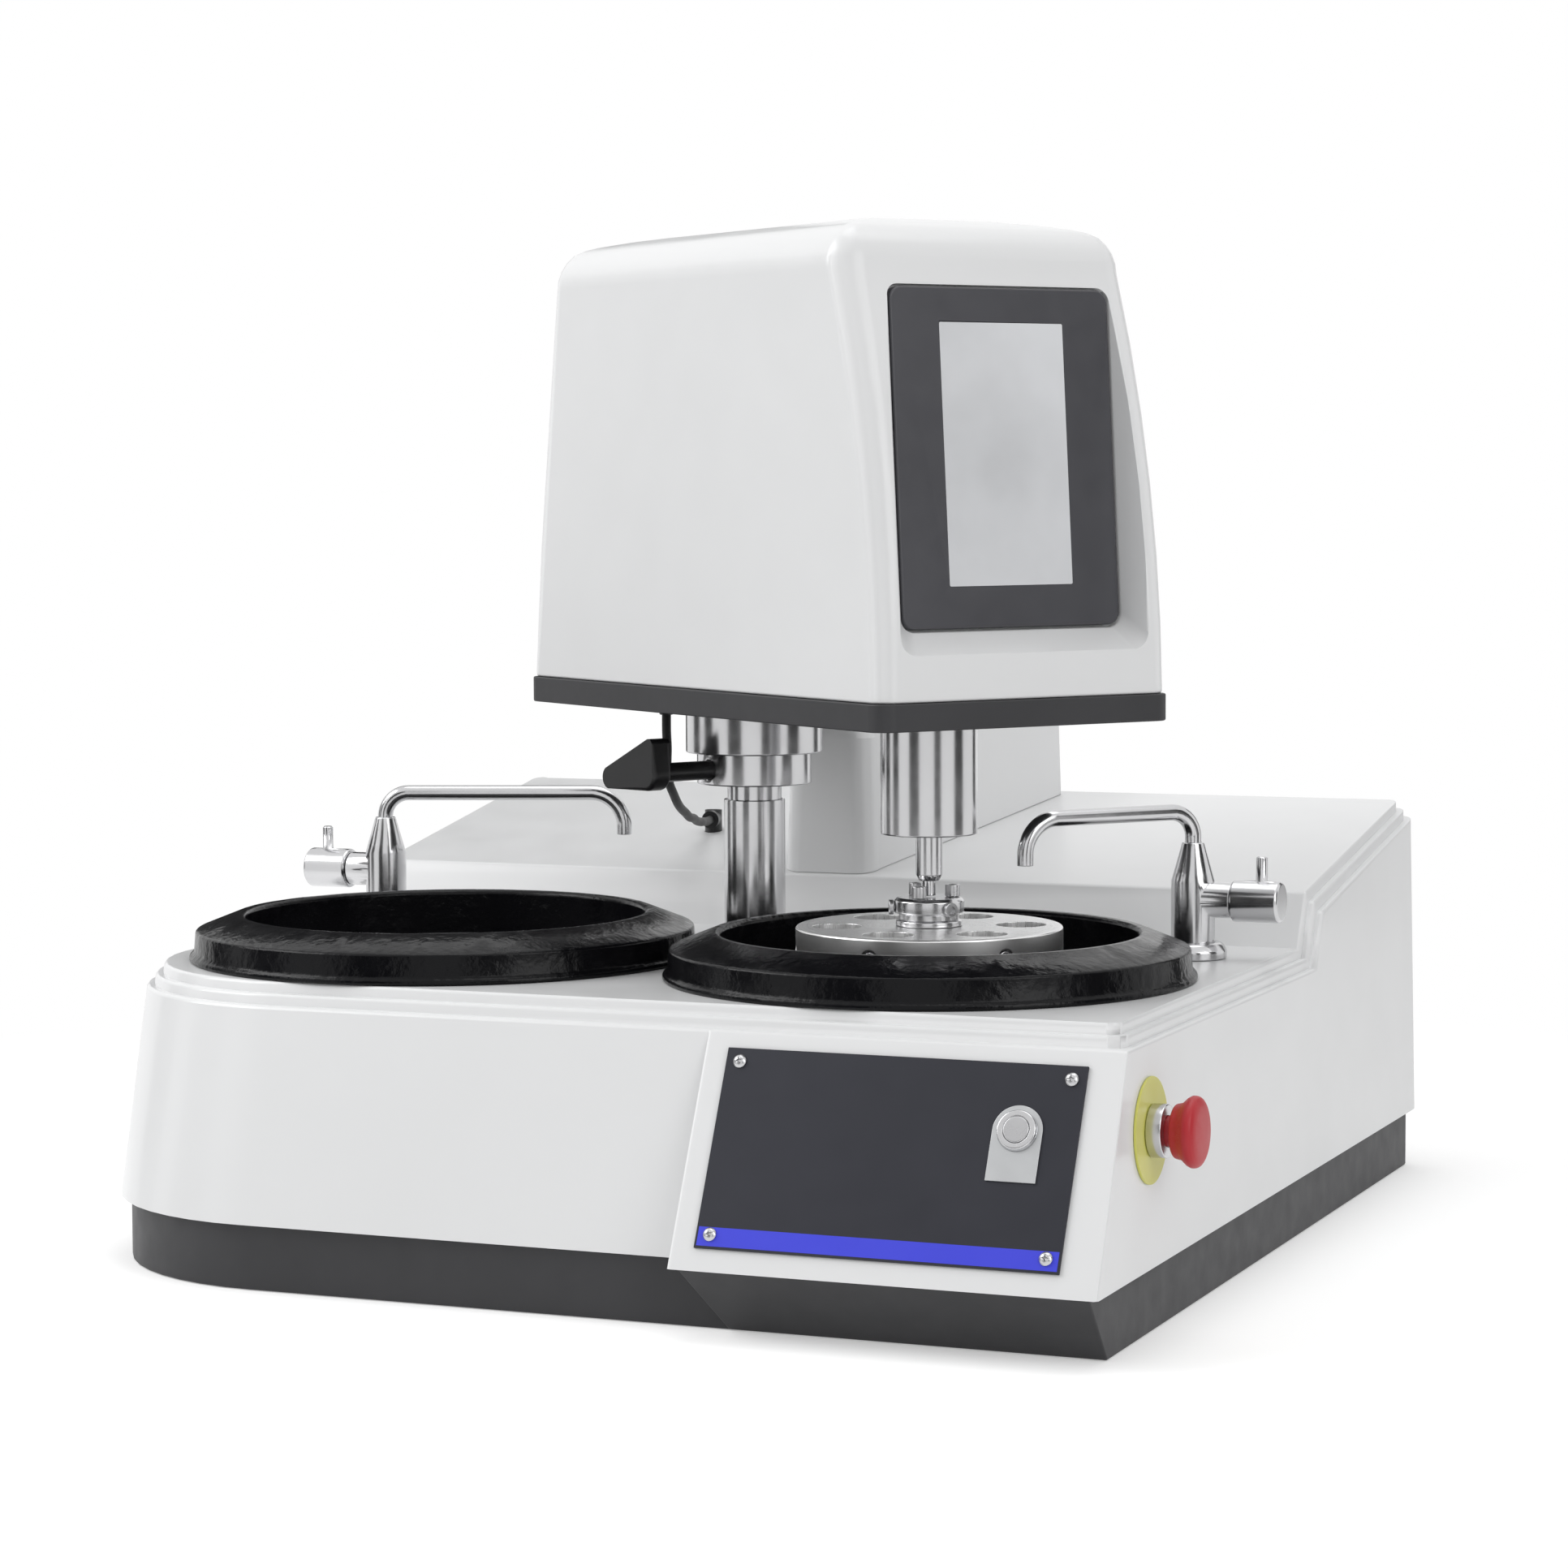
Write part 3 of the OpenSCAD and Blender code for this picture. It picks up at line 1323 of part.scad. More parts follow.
// Cable from the head to the rear platform, along a route of round points
cable_d = 6;
cable_sides = 8;
cable_route = [
    [-84, 51, 322], [-84, 51, 311], [-84, 52, 300], [-86, 56, 287], [-88, 64, 276], [-90, 75, 268],
    [-93, 88, 261], [-96, 101, 256], [-99, 115, 252], [-102, 128, 248], [-105, 142, 246],
    [-109, 156, 243], [-112, 170, 241], [-116, 183, 240], [-119, 196, 239], [-122, 209, 239]];
elbow_at = [-125, 222, 239];
elbow_d = 12;
platform_gland_x = elbow_at[0];
platform_gland_y = elbow_at[1];
platform_gland_deep = 24;
cable_end = cable_route[len(cable_route) - 1];
elbow_reach = norm(cable_end - elbow_at) - seat;
elbow_turn = atan2(cable_end[1] - elbow_at[1], cable_end[0] - elbow_at[0]);

function unit(v) = v / norm(v);
function along(route, i) = unit(route[min(i + 1, len(route) - 1)] - route[max(i - 1, 0)]);
function side_of(dir) = unit(cross(dir, [0.3, -0.9, 0.2]));

module cord(route, d) {
    n = len(route);
    rings([for (i = [n - 1:-1:0])
        let (dir = along(route, i), u = side_of(dir), v = cross(dir, u))
        [for (k = [0:cable_sides - 1])
            route[i] + d / 2 * (u * cos(360 * k / cable_sides) + v * sin(360 * k / cable_sides))]]);
}

module head_cable() {
    color(black) cord(cable_route, cable_d);
}

module head_gland() {
    color(black)
        in_head() translate([head_gland_x, head_gland_y, head_z - seat]) rotate([180, 0, 0]) {
            cylinder(d = gland_d, h = gland_h * 0.6);
            cylinder(d1 = gland_d - 2, d2 = cable_d + 3, h = gland_h - 2 * seat);
            translate([0, 0, -2 * shell_t]) cylinder(d = gland_thread_d, h = 2 * shell_t + cut);
        }
}

// Elbow that leads the cable down through the rear platform
module platform_gland() {
    color(black) translate(elbow_at) {
        translate([0, 0, -platform_gland_deep]) cylinder(d = elbow_d, h = platform_gland_deep + elbow_d / 2);
        rotate([0, 0, elbow_turn]) rotate([0, 90, 0]) cylinder(d = elbow_d, h = elbow_reach);
    }
}

plinth();
housing();
rear_tower();
rear_panel();
drive_frame();
lift_cylinder();
spindle_housings();
spindle_bearings();
drive_motors();
drive_belts();
bowls();
working_disc(-1);  // left_disc
working_disc(1);  // right_disc
abrasive(-1);  // left_abrasive
abrasive(1);  // right_abrasive
spindle(-1);  // left_spindle
spindle(1);  // right_spindle
disc_pulley(-1);  // left_pulley
disc_pulley(1);  // right_pulley
motor_shaft(-1);  // left_motor_shaft
motor_shaft(1);  // right_motor_shaft
motor_pulley(-1);  // left_motor_pulley
motor_pulley(1);  // right_motor_pulley
column_foot();
column_tube();
column_rod();
clamp_collar();
clamp_screw();
clamp_lever();
head_plate();
head_cover();
head_motor();
screen_frame();
screen_glass();
quill();
drive_sleeve();
working_shaft();
holder_hub();
specimen_holder();
holder_screws();
panel_plate();
panel_screws();
button_plate();
button_ring();
power_button();
estop_label();
estop_collar();
estop_button();
tap_bodies();
tap_rings();
spout(-1, left_reach, left_spout_angle, 0);  // left_spout
spout(1, right_reach, right_spout_angle, right_rise);  // right_spout
knob(-1);  // left_knob
knob(1);  // right_knob
head_cable();
head_gland();
platform_gland();
power_inlet();
water_inlet();
drain_outlet();
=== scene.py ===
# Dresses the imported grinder-polisher: camera, stage, light, materials and finer shapes.
import json
import math

import bmesh
import bpy
from mathutils import Matrix, Vector


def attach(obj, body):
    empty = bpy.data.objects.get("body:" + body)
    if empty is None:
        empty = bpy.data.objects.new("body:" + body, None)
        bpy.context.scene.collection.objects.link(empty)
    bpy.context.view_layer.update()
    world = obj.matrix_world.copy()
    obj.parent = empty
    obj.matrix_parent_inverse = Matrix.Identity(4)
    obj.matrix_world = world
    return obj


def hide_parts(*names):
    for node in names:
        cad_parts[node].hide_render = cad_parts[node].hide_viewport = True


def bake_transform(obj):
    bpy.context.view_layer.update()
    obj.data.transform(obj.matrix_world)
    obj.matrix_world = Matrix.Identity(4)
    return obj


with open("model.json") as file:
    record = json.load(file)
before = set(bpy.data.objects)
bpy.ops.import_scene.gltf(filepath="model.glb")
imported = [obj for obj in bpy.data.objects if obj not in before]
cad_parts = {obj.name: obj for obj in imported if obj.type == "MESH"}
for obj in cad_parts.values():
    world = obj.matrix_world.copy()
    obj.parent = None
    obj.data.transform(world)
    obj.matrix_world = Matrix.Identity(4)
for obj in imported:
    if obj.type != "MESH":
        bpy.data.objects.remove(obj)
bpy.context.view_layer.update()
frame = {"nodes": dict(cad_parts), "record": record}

nodes = frame["nodes"]
owner = {n: b for b, ns in frame["record"]["behaviour"]["bodies"].items() for n in ns}
slots = {s["node"]: s["material_slot"] for s in frame["record"]["subparts"]}
scene = bpy.context.scene
scene.view_settings.view_transform = "Standard"

# ---------------------------------------------------------------- camera, solved from the photo
AZ, PITCH, ROLL = math.radians(22.4806), math.radians(4.3812), math.radians(-0.2770)
ahead = Vector((-math.sin(AZ) * math.cos(PITCH), math.cos(AZ) * math.cos(PITCH), -math.sin(PITCH)))
level = Vector((math.cos(AZ), math.sin(AZ), 0))
above = level.cross(ahead)
right = level * math.cos(ROLL) + above * math.sin(ROLL)
up = above * math.cos(ROLL) - level * math.sin(ROLL)
PHOTO_SIDE, FOCAL_LENGTH = 1932, 5004.288    # pixels
SENSOR = 36    # mm
cam = bpy.data.objects.new("camera", bpy.data.cameras.new("camera"))
scene.collection.objects.link(cam)
scene.camera = cam
cam.data.sensor_width = SENSOR
cam.data.lens = SENSOR * FOCAL_LENGTH / PHOTO_SIDE
cam.data.clip_end = 50
cam.matrix_world = Matrix((right, up, -ahead)).transposed().to_4x4()
cam.location = (1.005682, -2.380858, 0.480191)


# ---------------------------------------------------------------- small tools
SAME_POINT, SAME_PLANE = 2e-6, math.radians(1.0)


def link(obj):
    scene.collection.objects.link(obj)
    return obj


def mesh_object(name, bm):
    mesh = bpy.data.meshes.new(name)
    bm.to_mesh(mesh)
    bm.free()
    return link(bpy.data.objects.new(name, mesh))


def smooth(obj, angle=32, weighted=True):
    obj.data.shade_smooth()
    obj.data.set_sharp_from_angle(angle=math.radians(angle))
    if weighted:
        mod = obj.modifiers.new("normals", "WEIGHTED_NORMAL")
        mod.keep_sharp = True
    return obj


def finish_piece(obj, mat, body, replaced=()):
    """Gives a piece its material and body, and hides the parts it replaces."""
    obj.data.materials.clear()
    obj.data.materials.append(mat)
    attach(obj, body)
    if replaced:
        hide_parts(*replaced)


def clean_copy(node):
    """A copy of a node's mesh with doubled points merged and flat triangles joined."""
    bm = bmesh.new()
    bm.from_mesh(nodes[node].data)
    bmesh.ops.remove_doubles(bm, verts=bm.verts, dist=SAME_POINT)
    bmesh.ops.dissolve_limit(bm, angle_limit=SAME_PLANE, verts=bm.verts, edges=bm.edges)
    bm.normal_update()
    return bm


def reach(face, e):
    """How far a face reaches from one of its edges."""
    start, way = e.verts[0].co, (e.verts[1].co - e.verts[0].co).normalized()
    return max(((v.co - start) - (v.co - start).dot(way) * way).length for v in face.verts)


def bevelled(bm, width, steps=2, low=28, shortest=0.003, only=None, room=0.0):
    """Rounds the sharp convex edges that are long enough, have room and pass the test."""
    picked = []
    for e in bm.edges:
        if len(e.link_faces) != 2 or e.calc_length() < shortest:
            continue
        if math.degrees(e.calc_face_angle(0)) < low or not e.is_convex:
            continue
        if min(reach(f, e) for f in e.link_faces) < room:
            continue
        if only is None or only((e.verts[0].co + e.verts[1].co) / 2, e):
            picked.append(e)
    bmesh.ops.bevel(bm, geom=picked, offset=width, offset_type="OFFSET", segments=steps,
                    profile=0.5, affect="EDGES", clamp_overlap=False, loop_slide=True)
    return bm


# ---------------------------------------------------------------- materials
def new_material(name):
    m = bpy.data.materials.new(name)
    m.use_nodes = True
    nt = m.node_tree
    return m, nt, nt.nodes["Principled BSDF"]


def noise(nt, vector, scale, detail=4.0):
    n = nt.nodes.new("ShaderNodeTexNoise")
    n.inputs["Scale"].default_value = scale
    n.inputs["Detail"].default_value = detail
    nt.links.new(vector, n.inputs["Vector"])
    return n.outputs["Fac"]


def spread(nt, value, low, high, first=0.3, last=0.7):
    """Maps a value between first and last to the range from low to high."""
    r = nt.nodes.new("ShaderNodeMapRange")
    r.inputs["From Min"].default_value, r.inputs["From Max"].default_value = first, last
    r.inputs["To Min"].default_value, r.inputs["To Max"].default_value = low, high
    nt.links.new(value, r.inputs["Value"])
    return r.outputs["Result"]


def place(nt, scale=(1, 1, 1), location=(0, 0, 0)):
    """Object coordinates, scaled and moved."""
    tc = nt.nodes.new("ShaderNodeTexCoord")
    mp = nt.nodes.new("ShaderNodeMapping")
    mp.inputs["Scale"].default_value = scale
    mp.inputs["Location"].default_value = location
    nt.links.new(tc.outputs["Object"], mp.inputs["Vector"])
    return mp.outputs["Vector"]


def tint(nt, bsdf, vector, color, amount, scale):
    """A colour that varies by a share of itself."""
    ramp = nt.nodes.new("ShaderNodeValToRGB")
    ramp.color_ramp.elements[0].position, ramp.color_ramp.elements[1].position = 0.3, 0.7
    ramp.color_ramp.elements[0].color = [max(c * (1 - amount), 0) for c in color] + [1]
    ramp.color_ramp.elements[1].color = [min(c * (1 + amount), 1) for c in color] + [1]
    nt.links.new(noise(nt, vector, scale), ramp.inputs["Fac"])
    nt.links.new(ramp.outputs["Color"], bsdf.inputs["Base Color"])


def bump(nt, bsdf, height, strength, distance):
    b = nt.nodes.new("ShaderNodeBump")
    b.inputs["Strength"].default_value = strength
    b.inputs["Distance"].default_value = distance
    nt.links.new(height, b.inputs["Height"])
    nt.links.new(b.outputs["Normal"], bsdf.inputs["Normal"])


def surface(name, color, rough, metal=0.0, spec=0.5, coat=0.0, coat_rough=0.05, vary=0.03,
            vary_scale=12.0, rough_vary=0.04, grain=900.0, grain_depth=0.00002, grain_strength=0.2,
            stretch=(1, 1, 1)):
    m, nt, b = new_material(name)
    b.inputs["Metallic"].default_value = metal
    b.inputs["Specular IOR Level"].default_value = spec
    b.inputs["Coat Weight"].default_value = coat
    b.inputs["Coat Roughness"].default_value = coat_rough
    v = place(nt)
    tint(nt, b, v, color, vary, vary_scale)
    least, most = max(rough - rough_vary, 0.02), rough + rough_vary
    nt.links.new(spread(nt, noise(nt, v, vary_scale * 5), least, most), b.inputs["Roughness"])
    bump(nt, b, noise(nt, place(nt, stretch), grain, 3), grain_strength, grain_depth)
    return m


def turned(name, color, rough, centre, pitch=0.0006, depth=0.00002, vary=0.08):
    """Turned metal: fine rings about the vertical axis through the centre."""
    m, nt, b = new_material(name)
    b.inputs["Metallic"].default_value = 1.0
    v = place(nt, location=tuple(-c for c in centre))
    keep = nt.nodes.new("ShaderNodeVectorMath")
    keep.operation = "MULTIPLY"
    keep.inputs[1].default_value = (1, 1, 0)
    nt.links.new(v, keep.inputs[0])
    length = nt.nodes.new("ShaderNodeVectorMath")
    length.operation = "LENGTH"
    nt.links.new(keep.outputs["Vector"], length.inputs[0])
    ring = nt.nodes.new("ShaderNodeTexNoise")
    ring.noise_dimensions = "1D"
    ring.inputs["Scale"].default_value = 1 / pitch
    ring.inputs["Detail"].default_value = 2
    nt.links.new(length.outputs["Value"], ring.inputs["W"])
    tint(nt, b, v, color, vary, 30)
    nt.links.new(spread(nt, ring.outputs["Fac"], rough * 0.7, rough * 1.3), b.inputs["Roughness"])
    bump(nt, b, ring.outputs["Fac"], 0.35, depth)
    return m


shell = surface("shell_white", (0.80, 0.805, 0.81), 0.34, spec=0.45, coat=0.25, coat_rough=0.12,
                vary=0.012, vary_scale=6, grain=420, grain_depth=0.00003, grain_strength=0.12)
dark_paint = surface("dark_paint", (0.034, 0.034, 0.037), 0.5, spec=0.4, vary=0.1, grain=1600,
                     grain_depth=0.00006, grain_strength=0.35)
gloss_black = surface("gloss_black", (0.004, 0.004, 0.005), 0.22, spec=0.16, vary=0.2, rough_vary=0.06,
                      grain=150, grain_depth=0.0008, grain_strength=0.75)
chrome = surface("chrome", (0.60, 0.60, 0.61), 0.18, metal=1.0, vary=0.03, rough_vary=0.03, grain=500,
                 grain_depth=0.00001, grain_strength=0.1, stretch=(1, 1, 6))
screw_steel = surface("screw_steel", (0.55, 0.55, 0.56), 0.28, metal=1.0, vary=0.06, rough_vary=0.08,
                      grain=1500, grain_depth=0.00002)
bearing_steel = surface("bearing_steel", (0.6, 0.6, 0.61), 0.24, metal=1.0, vary=0.05, grain=900,
                        grain_depth=0.00001, stretch=(1, 1, 12))
sheet_steel = surface("steel_sheet", (0.56, 0.57, 0.58), 0.34, metal=1.0, vary=0.05, grain=700,
                      grain_depth=0.00002, stretch=(0.04, 1, 1))
frame_steel = surface("frame_steel", (0.30, 0.31, 0.33), 0.45, metal=0.6, vary=0.12, grain=600)
motor_paint = surface("motor_paint", (0.05, 0.065, 0.10), 0.45, vary=0.12, grain=1200, grain_depth=0.00005)
belt_rubber = surface("belt_rubber", (0.018, 0.018, 0.018), 0.75, spec=0.3, vary=0.2, grain=2000,
                      grain_depth=0.00008, grain_strength=0.5)
cable_rubber = surface("cable_rubber", (0.012, 0.012, 0.012), 0.5, spec=0.4, vary=0.2, grain=2500,
                       grain_depth=0.00004, grain_strength=0.4)
black_plastic = surface("black_plastic", (0.013, 0.013, 0.014), 0.36, spec=0.5, vary=0.2, grain=1800,
                        grain_depth=0.00005, grain_strength=0.35)
black_steel = surface("black_steel", (0.014, 0.014, 0.015), 0.3, spec=0.6, vary=0.2, grain=1200)
grey_plastic = surface("grey_plastic", (0.10, 0.10, 0.105), 0.45, vary=0.1, grain=1400, grain_depth=0.00005)
brass = surface("brass", (0.62, 0.44, 0.18), 0.28, metal=1.0, vary=0.08, grain=800, grain_depth=0.00002)
bezel = surface("bezel_grey", (0.062, 0.062, 0.07), 0.36, spec=0.45, vary=0.06, grain=2200,
                grain_depth=0.00003, grain_strength=0.3)
panel_grey = surface("panel_grey", (0.026, 0.027, 0.036), 0.42, spec=0.3, vary=0.08, grain=2600,
                     grain_depth=0.00003, grain_strength=0.3)
band_blue = surface("band_blue", (0.055, 0.065, 0.72), 0.4, spec=0.4, vary=0.04, grain=2600,
                    grain_depth=0.00002, grain_strength=0.25)
yellow = surface("yellow_plastic", (0.66, 0.65, 0.14), 0.36, vary=0.04, grain=1200, grain_depth=0.00002)
red = surface("red_plastic", (0.47, 0.022, 0.030), 0.42, spec=0.4, vary=0.06, grain=900,
              grain_depth=0.00002)
# The large soft patches in the display's base colour (vary 0.13 at scale 8) are a painted reflection on the
# screen.
glass = surface("display_glass", (0.73, 0.74, 0.76), 0.16, spec=0.6, coat=0.8, coat_rough=0.03,
                vary=0.13, vary_scale=8, rough_vary=0.03, grain=60, grain_depth=0.00002,
                grain_strength=0.05)
DISC_Y, DISC_X = -0.116, 0.162
disc_metal = {s: turned("disc_metal_" + n, (0.30, 0.31, 0.33), 0.34, (s * DISC_X, DISC_Y, 0))
              for s, n in ((-1, "left"), (1, "right"))}
holder_metal = turned("holder_metal", (0.84, 0.84, 0.84), 0.33, (DISC_X, DISC_Y, 0), pitch=0.0005,
                      vary=0.04)
pulley_metal = surface("pulley_metal", (0.5, 0.51, 0.53), 0.35, metal=1.0, vary=0.06)


def abrasive_material(name):
    m, nt, b = new_material(name)
    v = place(nt)
    tint(nt, b, v, (0.028, 0.028, 0.03), 0.5, 1800)
    b.inputs["Roughness"].default_value = 0.8
    cells = nt.nodes.new("ShaderNodeTexVoronoi")
    cells.inputs["Scale"].default_value = 1400
    nt.links.new(v, cells.inputs["Vector"])
    bump(nt, b, cells.outputs["Distance"], 0.7, 0.00015)
    return m


abrasive = abrasive_material("abrasive_paper")

look = {
    "shell_white": shell, "dark_paint": dark_paint, "steel_sheet": sheet_steel,
    "frame_steel": frame_steel,
    "bearing_steel": bearing_steel, "motor_paint": motor_paint, "belt_rubber": belt_rubber,
    "gloss_black": gloss_black, "disc_metal": disc_metal[-1], "abrasive_paper": abrasive,
    "pulley_metal": pulley_metal, "black_plastic": black_plastic, "chrome": chrome,
    "black_steel": black_steel, "bezel_grey": bezel, "display_glass": glass, "screw_steel": screw_steel,
    "panel_grey": panel_grey, "yellow_plastic": yellow, "red_plastic": red,
    "cable_rubber": cable_rubber,
    "brass": brass, "grey_plastic": grey_plastic}
for n, o in nodes.items():
    o.data.materials.clear()
    o.data.materials.append(look[slots[n]])
nodes["right_disc"].data.materials[0] = disc_metal[1]
nodes["specimen_holder"].data.materials[0] = holder_metal

# ---------------------------------------------------------------- cable: two lengths that meet halfway
# Middle line from the head's gland to the platform's, in mm
ROUTE = [(-84, 51, 322), (-84, 51, 311), (-84, 52, 300), (-86, 56, 287), (-88, 64, 276), (-90, 75, 268),
         (-93, 88, 261), (-96, 101, 256), (-99, 115, 252), (-102, 128, 248), (-105, 142, 246),
         (-109, 156, 243), (-112, 170, 241), (-116, 183, 240), (-119, 196, 239), (-122, 209, 239)]
CABLE_D = 0.006


def fine_route(points, per=8):
    """A smooth line through the points, straight at both ends."""
    p = [Vector(q) / 1000 for q in points]
    out = []
    for i in range(len(p) - 1):
        a, b = p[i], p[i + 1]
        before = p[i - 1] if i else a - (b - a)
        after = p[i + 2] if i + 2 < len(p) else b + (b - a)
        for k in range(per):
            t = k / per
            out.append(0.5 * ((2 * a) + (b - before) * t + (2 * before - 5 * a + 4 * b - after) * t ** 2
                              + (3 * a - before - 3 * b + after) * t ** 3))
    return out + [p[-1]]


def tube(name, line, radius, sides=20):
    bm = bmesh.new()
    rings = []
    for i, p in enumerate(line):
        way = (line[min(i + 1, len(line) - 1)] - line[max(i - 1, 0)]).normalized()
        u = way.cross(Vector((0.9, 0.1, 0.3))).normalized()
        w = way.cross(u)
        rings.append([bm.verts.new(p + radius * (u * math.cos(a) + w * math.sin(a)))
                      for a in (2 * math.pi * k / sides for k in range(sides))])
    for a, b in zip(rings, rings[1:]):
        for k in range(sides):
            bm.faces.new((a[k], a[(k + 1) % sides], b[(k + 1) % sides], b[k]))
    bm.faces.new(rings[0][::-1])
    bm.faces.new(rings[-1])
    bmesh.ops.recalc_face_normals(bm, faces=bm.faces)
    return mesh_object(name, bm)


line = fine_route(ROUTE)
half = len(line) // 2
upper_line, lower_line = line[:half + 1], line[half:][::-1]
for name, part, a, b in (("cable_upper", upper_line, "lift", "head"),
                         ("cable_lower", lower_line, "base", "lift")):
    piece = smooth(tube(name, part, CABLE_D / 2), 40, False)
    piece.data.materials.append(cable_rubber)
    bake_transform(piece)
    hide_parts("head_cable")

# ---------------------------------------------------------------- moulded white shells
HOUSING_FOOT = 0.0405


def outer_edge(middle, e):
    return middle.z > HOUSING_FOOT and e.calc_length() > 0.004


bm = bevelled(clean_copy("housing"), 0.0021, 3, shortest=0.004, only=outer_edge)
finish_piece(smooth(mesh_object("housing_moulding", bm)), shell, "base", ["housing"])
bm = bevelled(clean_copy("rear_tower"), 0.0015, shortest=0.004)
finish_piece(smooth(mesh_object("tower_moulding", bm), 40), shell, "base", ["rear_tower"])
bm = bevelled(clean_copy("head_cover"), 0.0018, 3, low=34, shortest=0.0015, room=0.003)
finish_piece(smooth(mesh_object("cover_moulding", bm), 34), shell, "head", ["head_cover"])

# ---------------------------------------------------------------- frames of the console and the spindle
DECK, PLINTH, FRONT, STEP = 0.179, 0.0395, 0.347, 0.0065
HOUSING_FRONT, FRONT_LEAN = 0.316, 0.24
rise = DECK - 2 * STEP - PLINTH
run = FRONT - (HOUSING_FRONT - FRONT_LEAN * rise)
tilt = math.atan2(rise, run)
console = Matrix.Translation((0, -FRONT, PLINTH)) @ Matrix.Rotation(tilt, 4, "X")
PANEL_X, PANEL_S, PANEL_W, PANEL_H = 0.1065, 0.013, 0.2135, 0.117
spindle = Matrix.Translation((DISC_X, DISC_Y, 0)) @ Matrix.Rotation(math.atan2(DISC_Y, DISC_X), 4, "Z")
OUTWARD = Matrix.Rotation(math.radians(90), 4, "Y")
# Screws: the spot of each kind of head, and the radius and half depth of its recess
PANEL_SCREW_X, PANEL_SCREW_Y, PANEL_HEAD_Z = 0.0085, 0.008, 0.0044
PANEL_SLOT = (0.0026, 0.0013)
CAP_AT, CAP_SOCKET = (0.014, 0, 0.2346), (0.0027, 0.0035)
EAR_AT, EAR_SOCKET = (0.0242, 0, 0.2212), (0.0025, 0.0018)
RIM_AT, RIM_SLOT = (0.0792, 0, 0.198), (0.0062, 0.0014)


def add_prism(bm, at, radius, depth, sides, squeeze=1.0, turn=0.0):
    """A prism about the local Z axis, from depth below the origin to depth above it."""
    made = bmesh.ops.create_cone(bm, cap_ends=True, segments=sides, radius1=radius, radius2=radius,
                                 depth=2 * depth)
    shape = at @ Matrix.Rotation(turn, 4, "Z") @ Matrix.Diagonal((1, squeeze, 1, 1))
    bmesh.ops.transform(bm, matrix=shape, verts=made["verts"])


def carve(obj, cutter_bm):
    """Cuts the drive recesses of screws out of a piece."""
    cutter = mesh_object("cutter", cutter_bm)
    mod = obj.modifiers.new("cut", "BOOLEAN")
    mod.operation, mod.solver, mod.object = "DIFFERENCE", "EXACT", cutter
    mod.use_self = True
    depsgraph = bpy.context.evaluated_depsgraph_get()
    result = bpy.data.meshes.new_from_object(obj.evaluated_get(depsgraph))
    obj.modifiers.remove(mod)
    obj.data = result
    bpy.data.objects.remove(cutter)


def around(degrees, at):
    """A frame at a point beside the working spindle, turned about it."""
    return spindle @ Matrix.Rotation(math.radians(degrees), 4, "Z") @ Matrix.Translation(at)


def recesses(node):
    """Cross slots in the panel's screws, hex sockets and slots in the holder's."""
    bm = bmesh.new()
    if node == "panel_screws":
        for x in (PANEL_SCREW_X, PANEL_W - PANEL_SCREW_X):
            for y in (PANEL_SCREW_Y, PANEL_H - PANEL_SCREW_Y):
                at = console @ Matrix.Translation((PANEL_X + x, PANEL_S + y, PANEL_HEAD_Z))
                turn = 90 if x > PANEL_W / 2 else 20
                for cross in (0, 90):
                    add_prism(bm, at, *PANEL_SLOT, 4, 0.22, math.radians(turn + cross))
    else:
        for i in range(3):
            add_prism(bm, around(60 + 120 * i, CAP_AT), *CAP_SOCKET, 6)
            add_prism(bm, around(120 * i, EAR_AT) @ OUTWARD, *EAR_SOCKET, 6)
        for i in range(6):
            add_prism(bm, around(60 * i, RIM_AT) @ OUTWARD, *RIM_SLOT, 4, 0.13, math.radians(70 + 25 * i))
    return bm


# ---------------------------------------------------------------- other pieces with rounded edges
# Node: width and steps of the rounding
ROUNDED = {
    "plinth": (0.0012, 2), "head_plate": (0.0009, 2), "bowls": (0.0011, 3), "column_foot": (0.0008, 2),
    "column_tube": (0.0006, 2), "column_rod": (0.0006, 2), "clamp_collar": (0.0010, 2),
    "clamp_screw": (0.0006, 2), "clamp_lever": (0.0028, 3), "quill": (0.0010, 2),
    "working_shaft": (0.0004, 2), "holder_hub": (0.0006, 2), "specimen_holder": (0.0004, 2),
    "holder_screws": (0.0006, 2), "panel_plate": (0.0003, 2), "panel_screws": (0.0002, 2),
    "button_plate": (0.0002, 2), "button_ring": (0.0006, 2), "power_button": (0.0006, 2),
    "estop_label": (0.0003, 2), "estop_collar": (0.0008, 2), "estop_button": (0.0014, 3),
    "tap_bodies": (0.0008, 2), "tap_rings": (0.0008, 2), "left_knob": (0.0006, 2),
    "right_knob": (0.0006, 2), "left_spout": (0.0004, 2), "right_spout": (0.0004, 2),
    "screen_frame": (0.0012, 3), "left_disc": (0.0005, 2), "right_disc": (0.0005, 2),
    "head_gland": (0.0006, 2), "platform_gland": (0.0020, 3), "rear_panel": (0.0004, 2),
    "power_inlet": (0.0005, 2), "water_inlet": (0.0006, 2), "drain_outlet": (0.0008, 2),
    "drive_motors": (0.0015, 2)}
BROAD = 0.0015
for n, (width, steps) in ROUNDED.items():
    bm = bevelled(clean_copy(n), width, steps, shortest=0.0004 if width < BROAD else 0.002)
    piece = mesh_object(n + "_piece", bm)
    if n in ("panel_screws", "holder_screws"):
        carve(piece, recesses(n))
    smooth(piece, 34)
    finish_piece(piece, nodes[n].data.materials[0], owner[n], [n])
for n in nodes:
    if not nodes[n].hide_render:
        nodes[n].data.shade_smooth()
        nodes[n].data.set_sharp_from_angle(angle=math.radians(30))

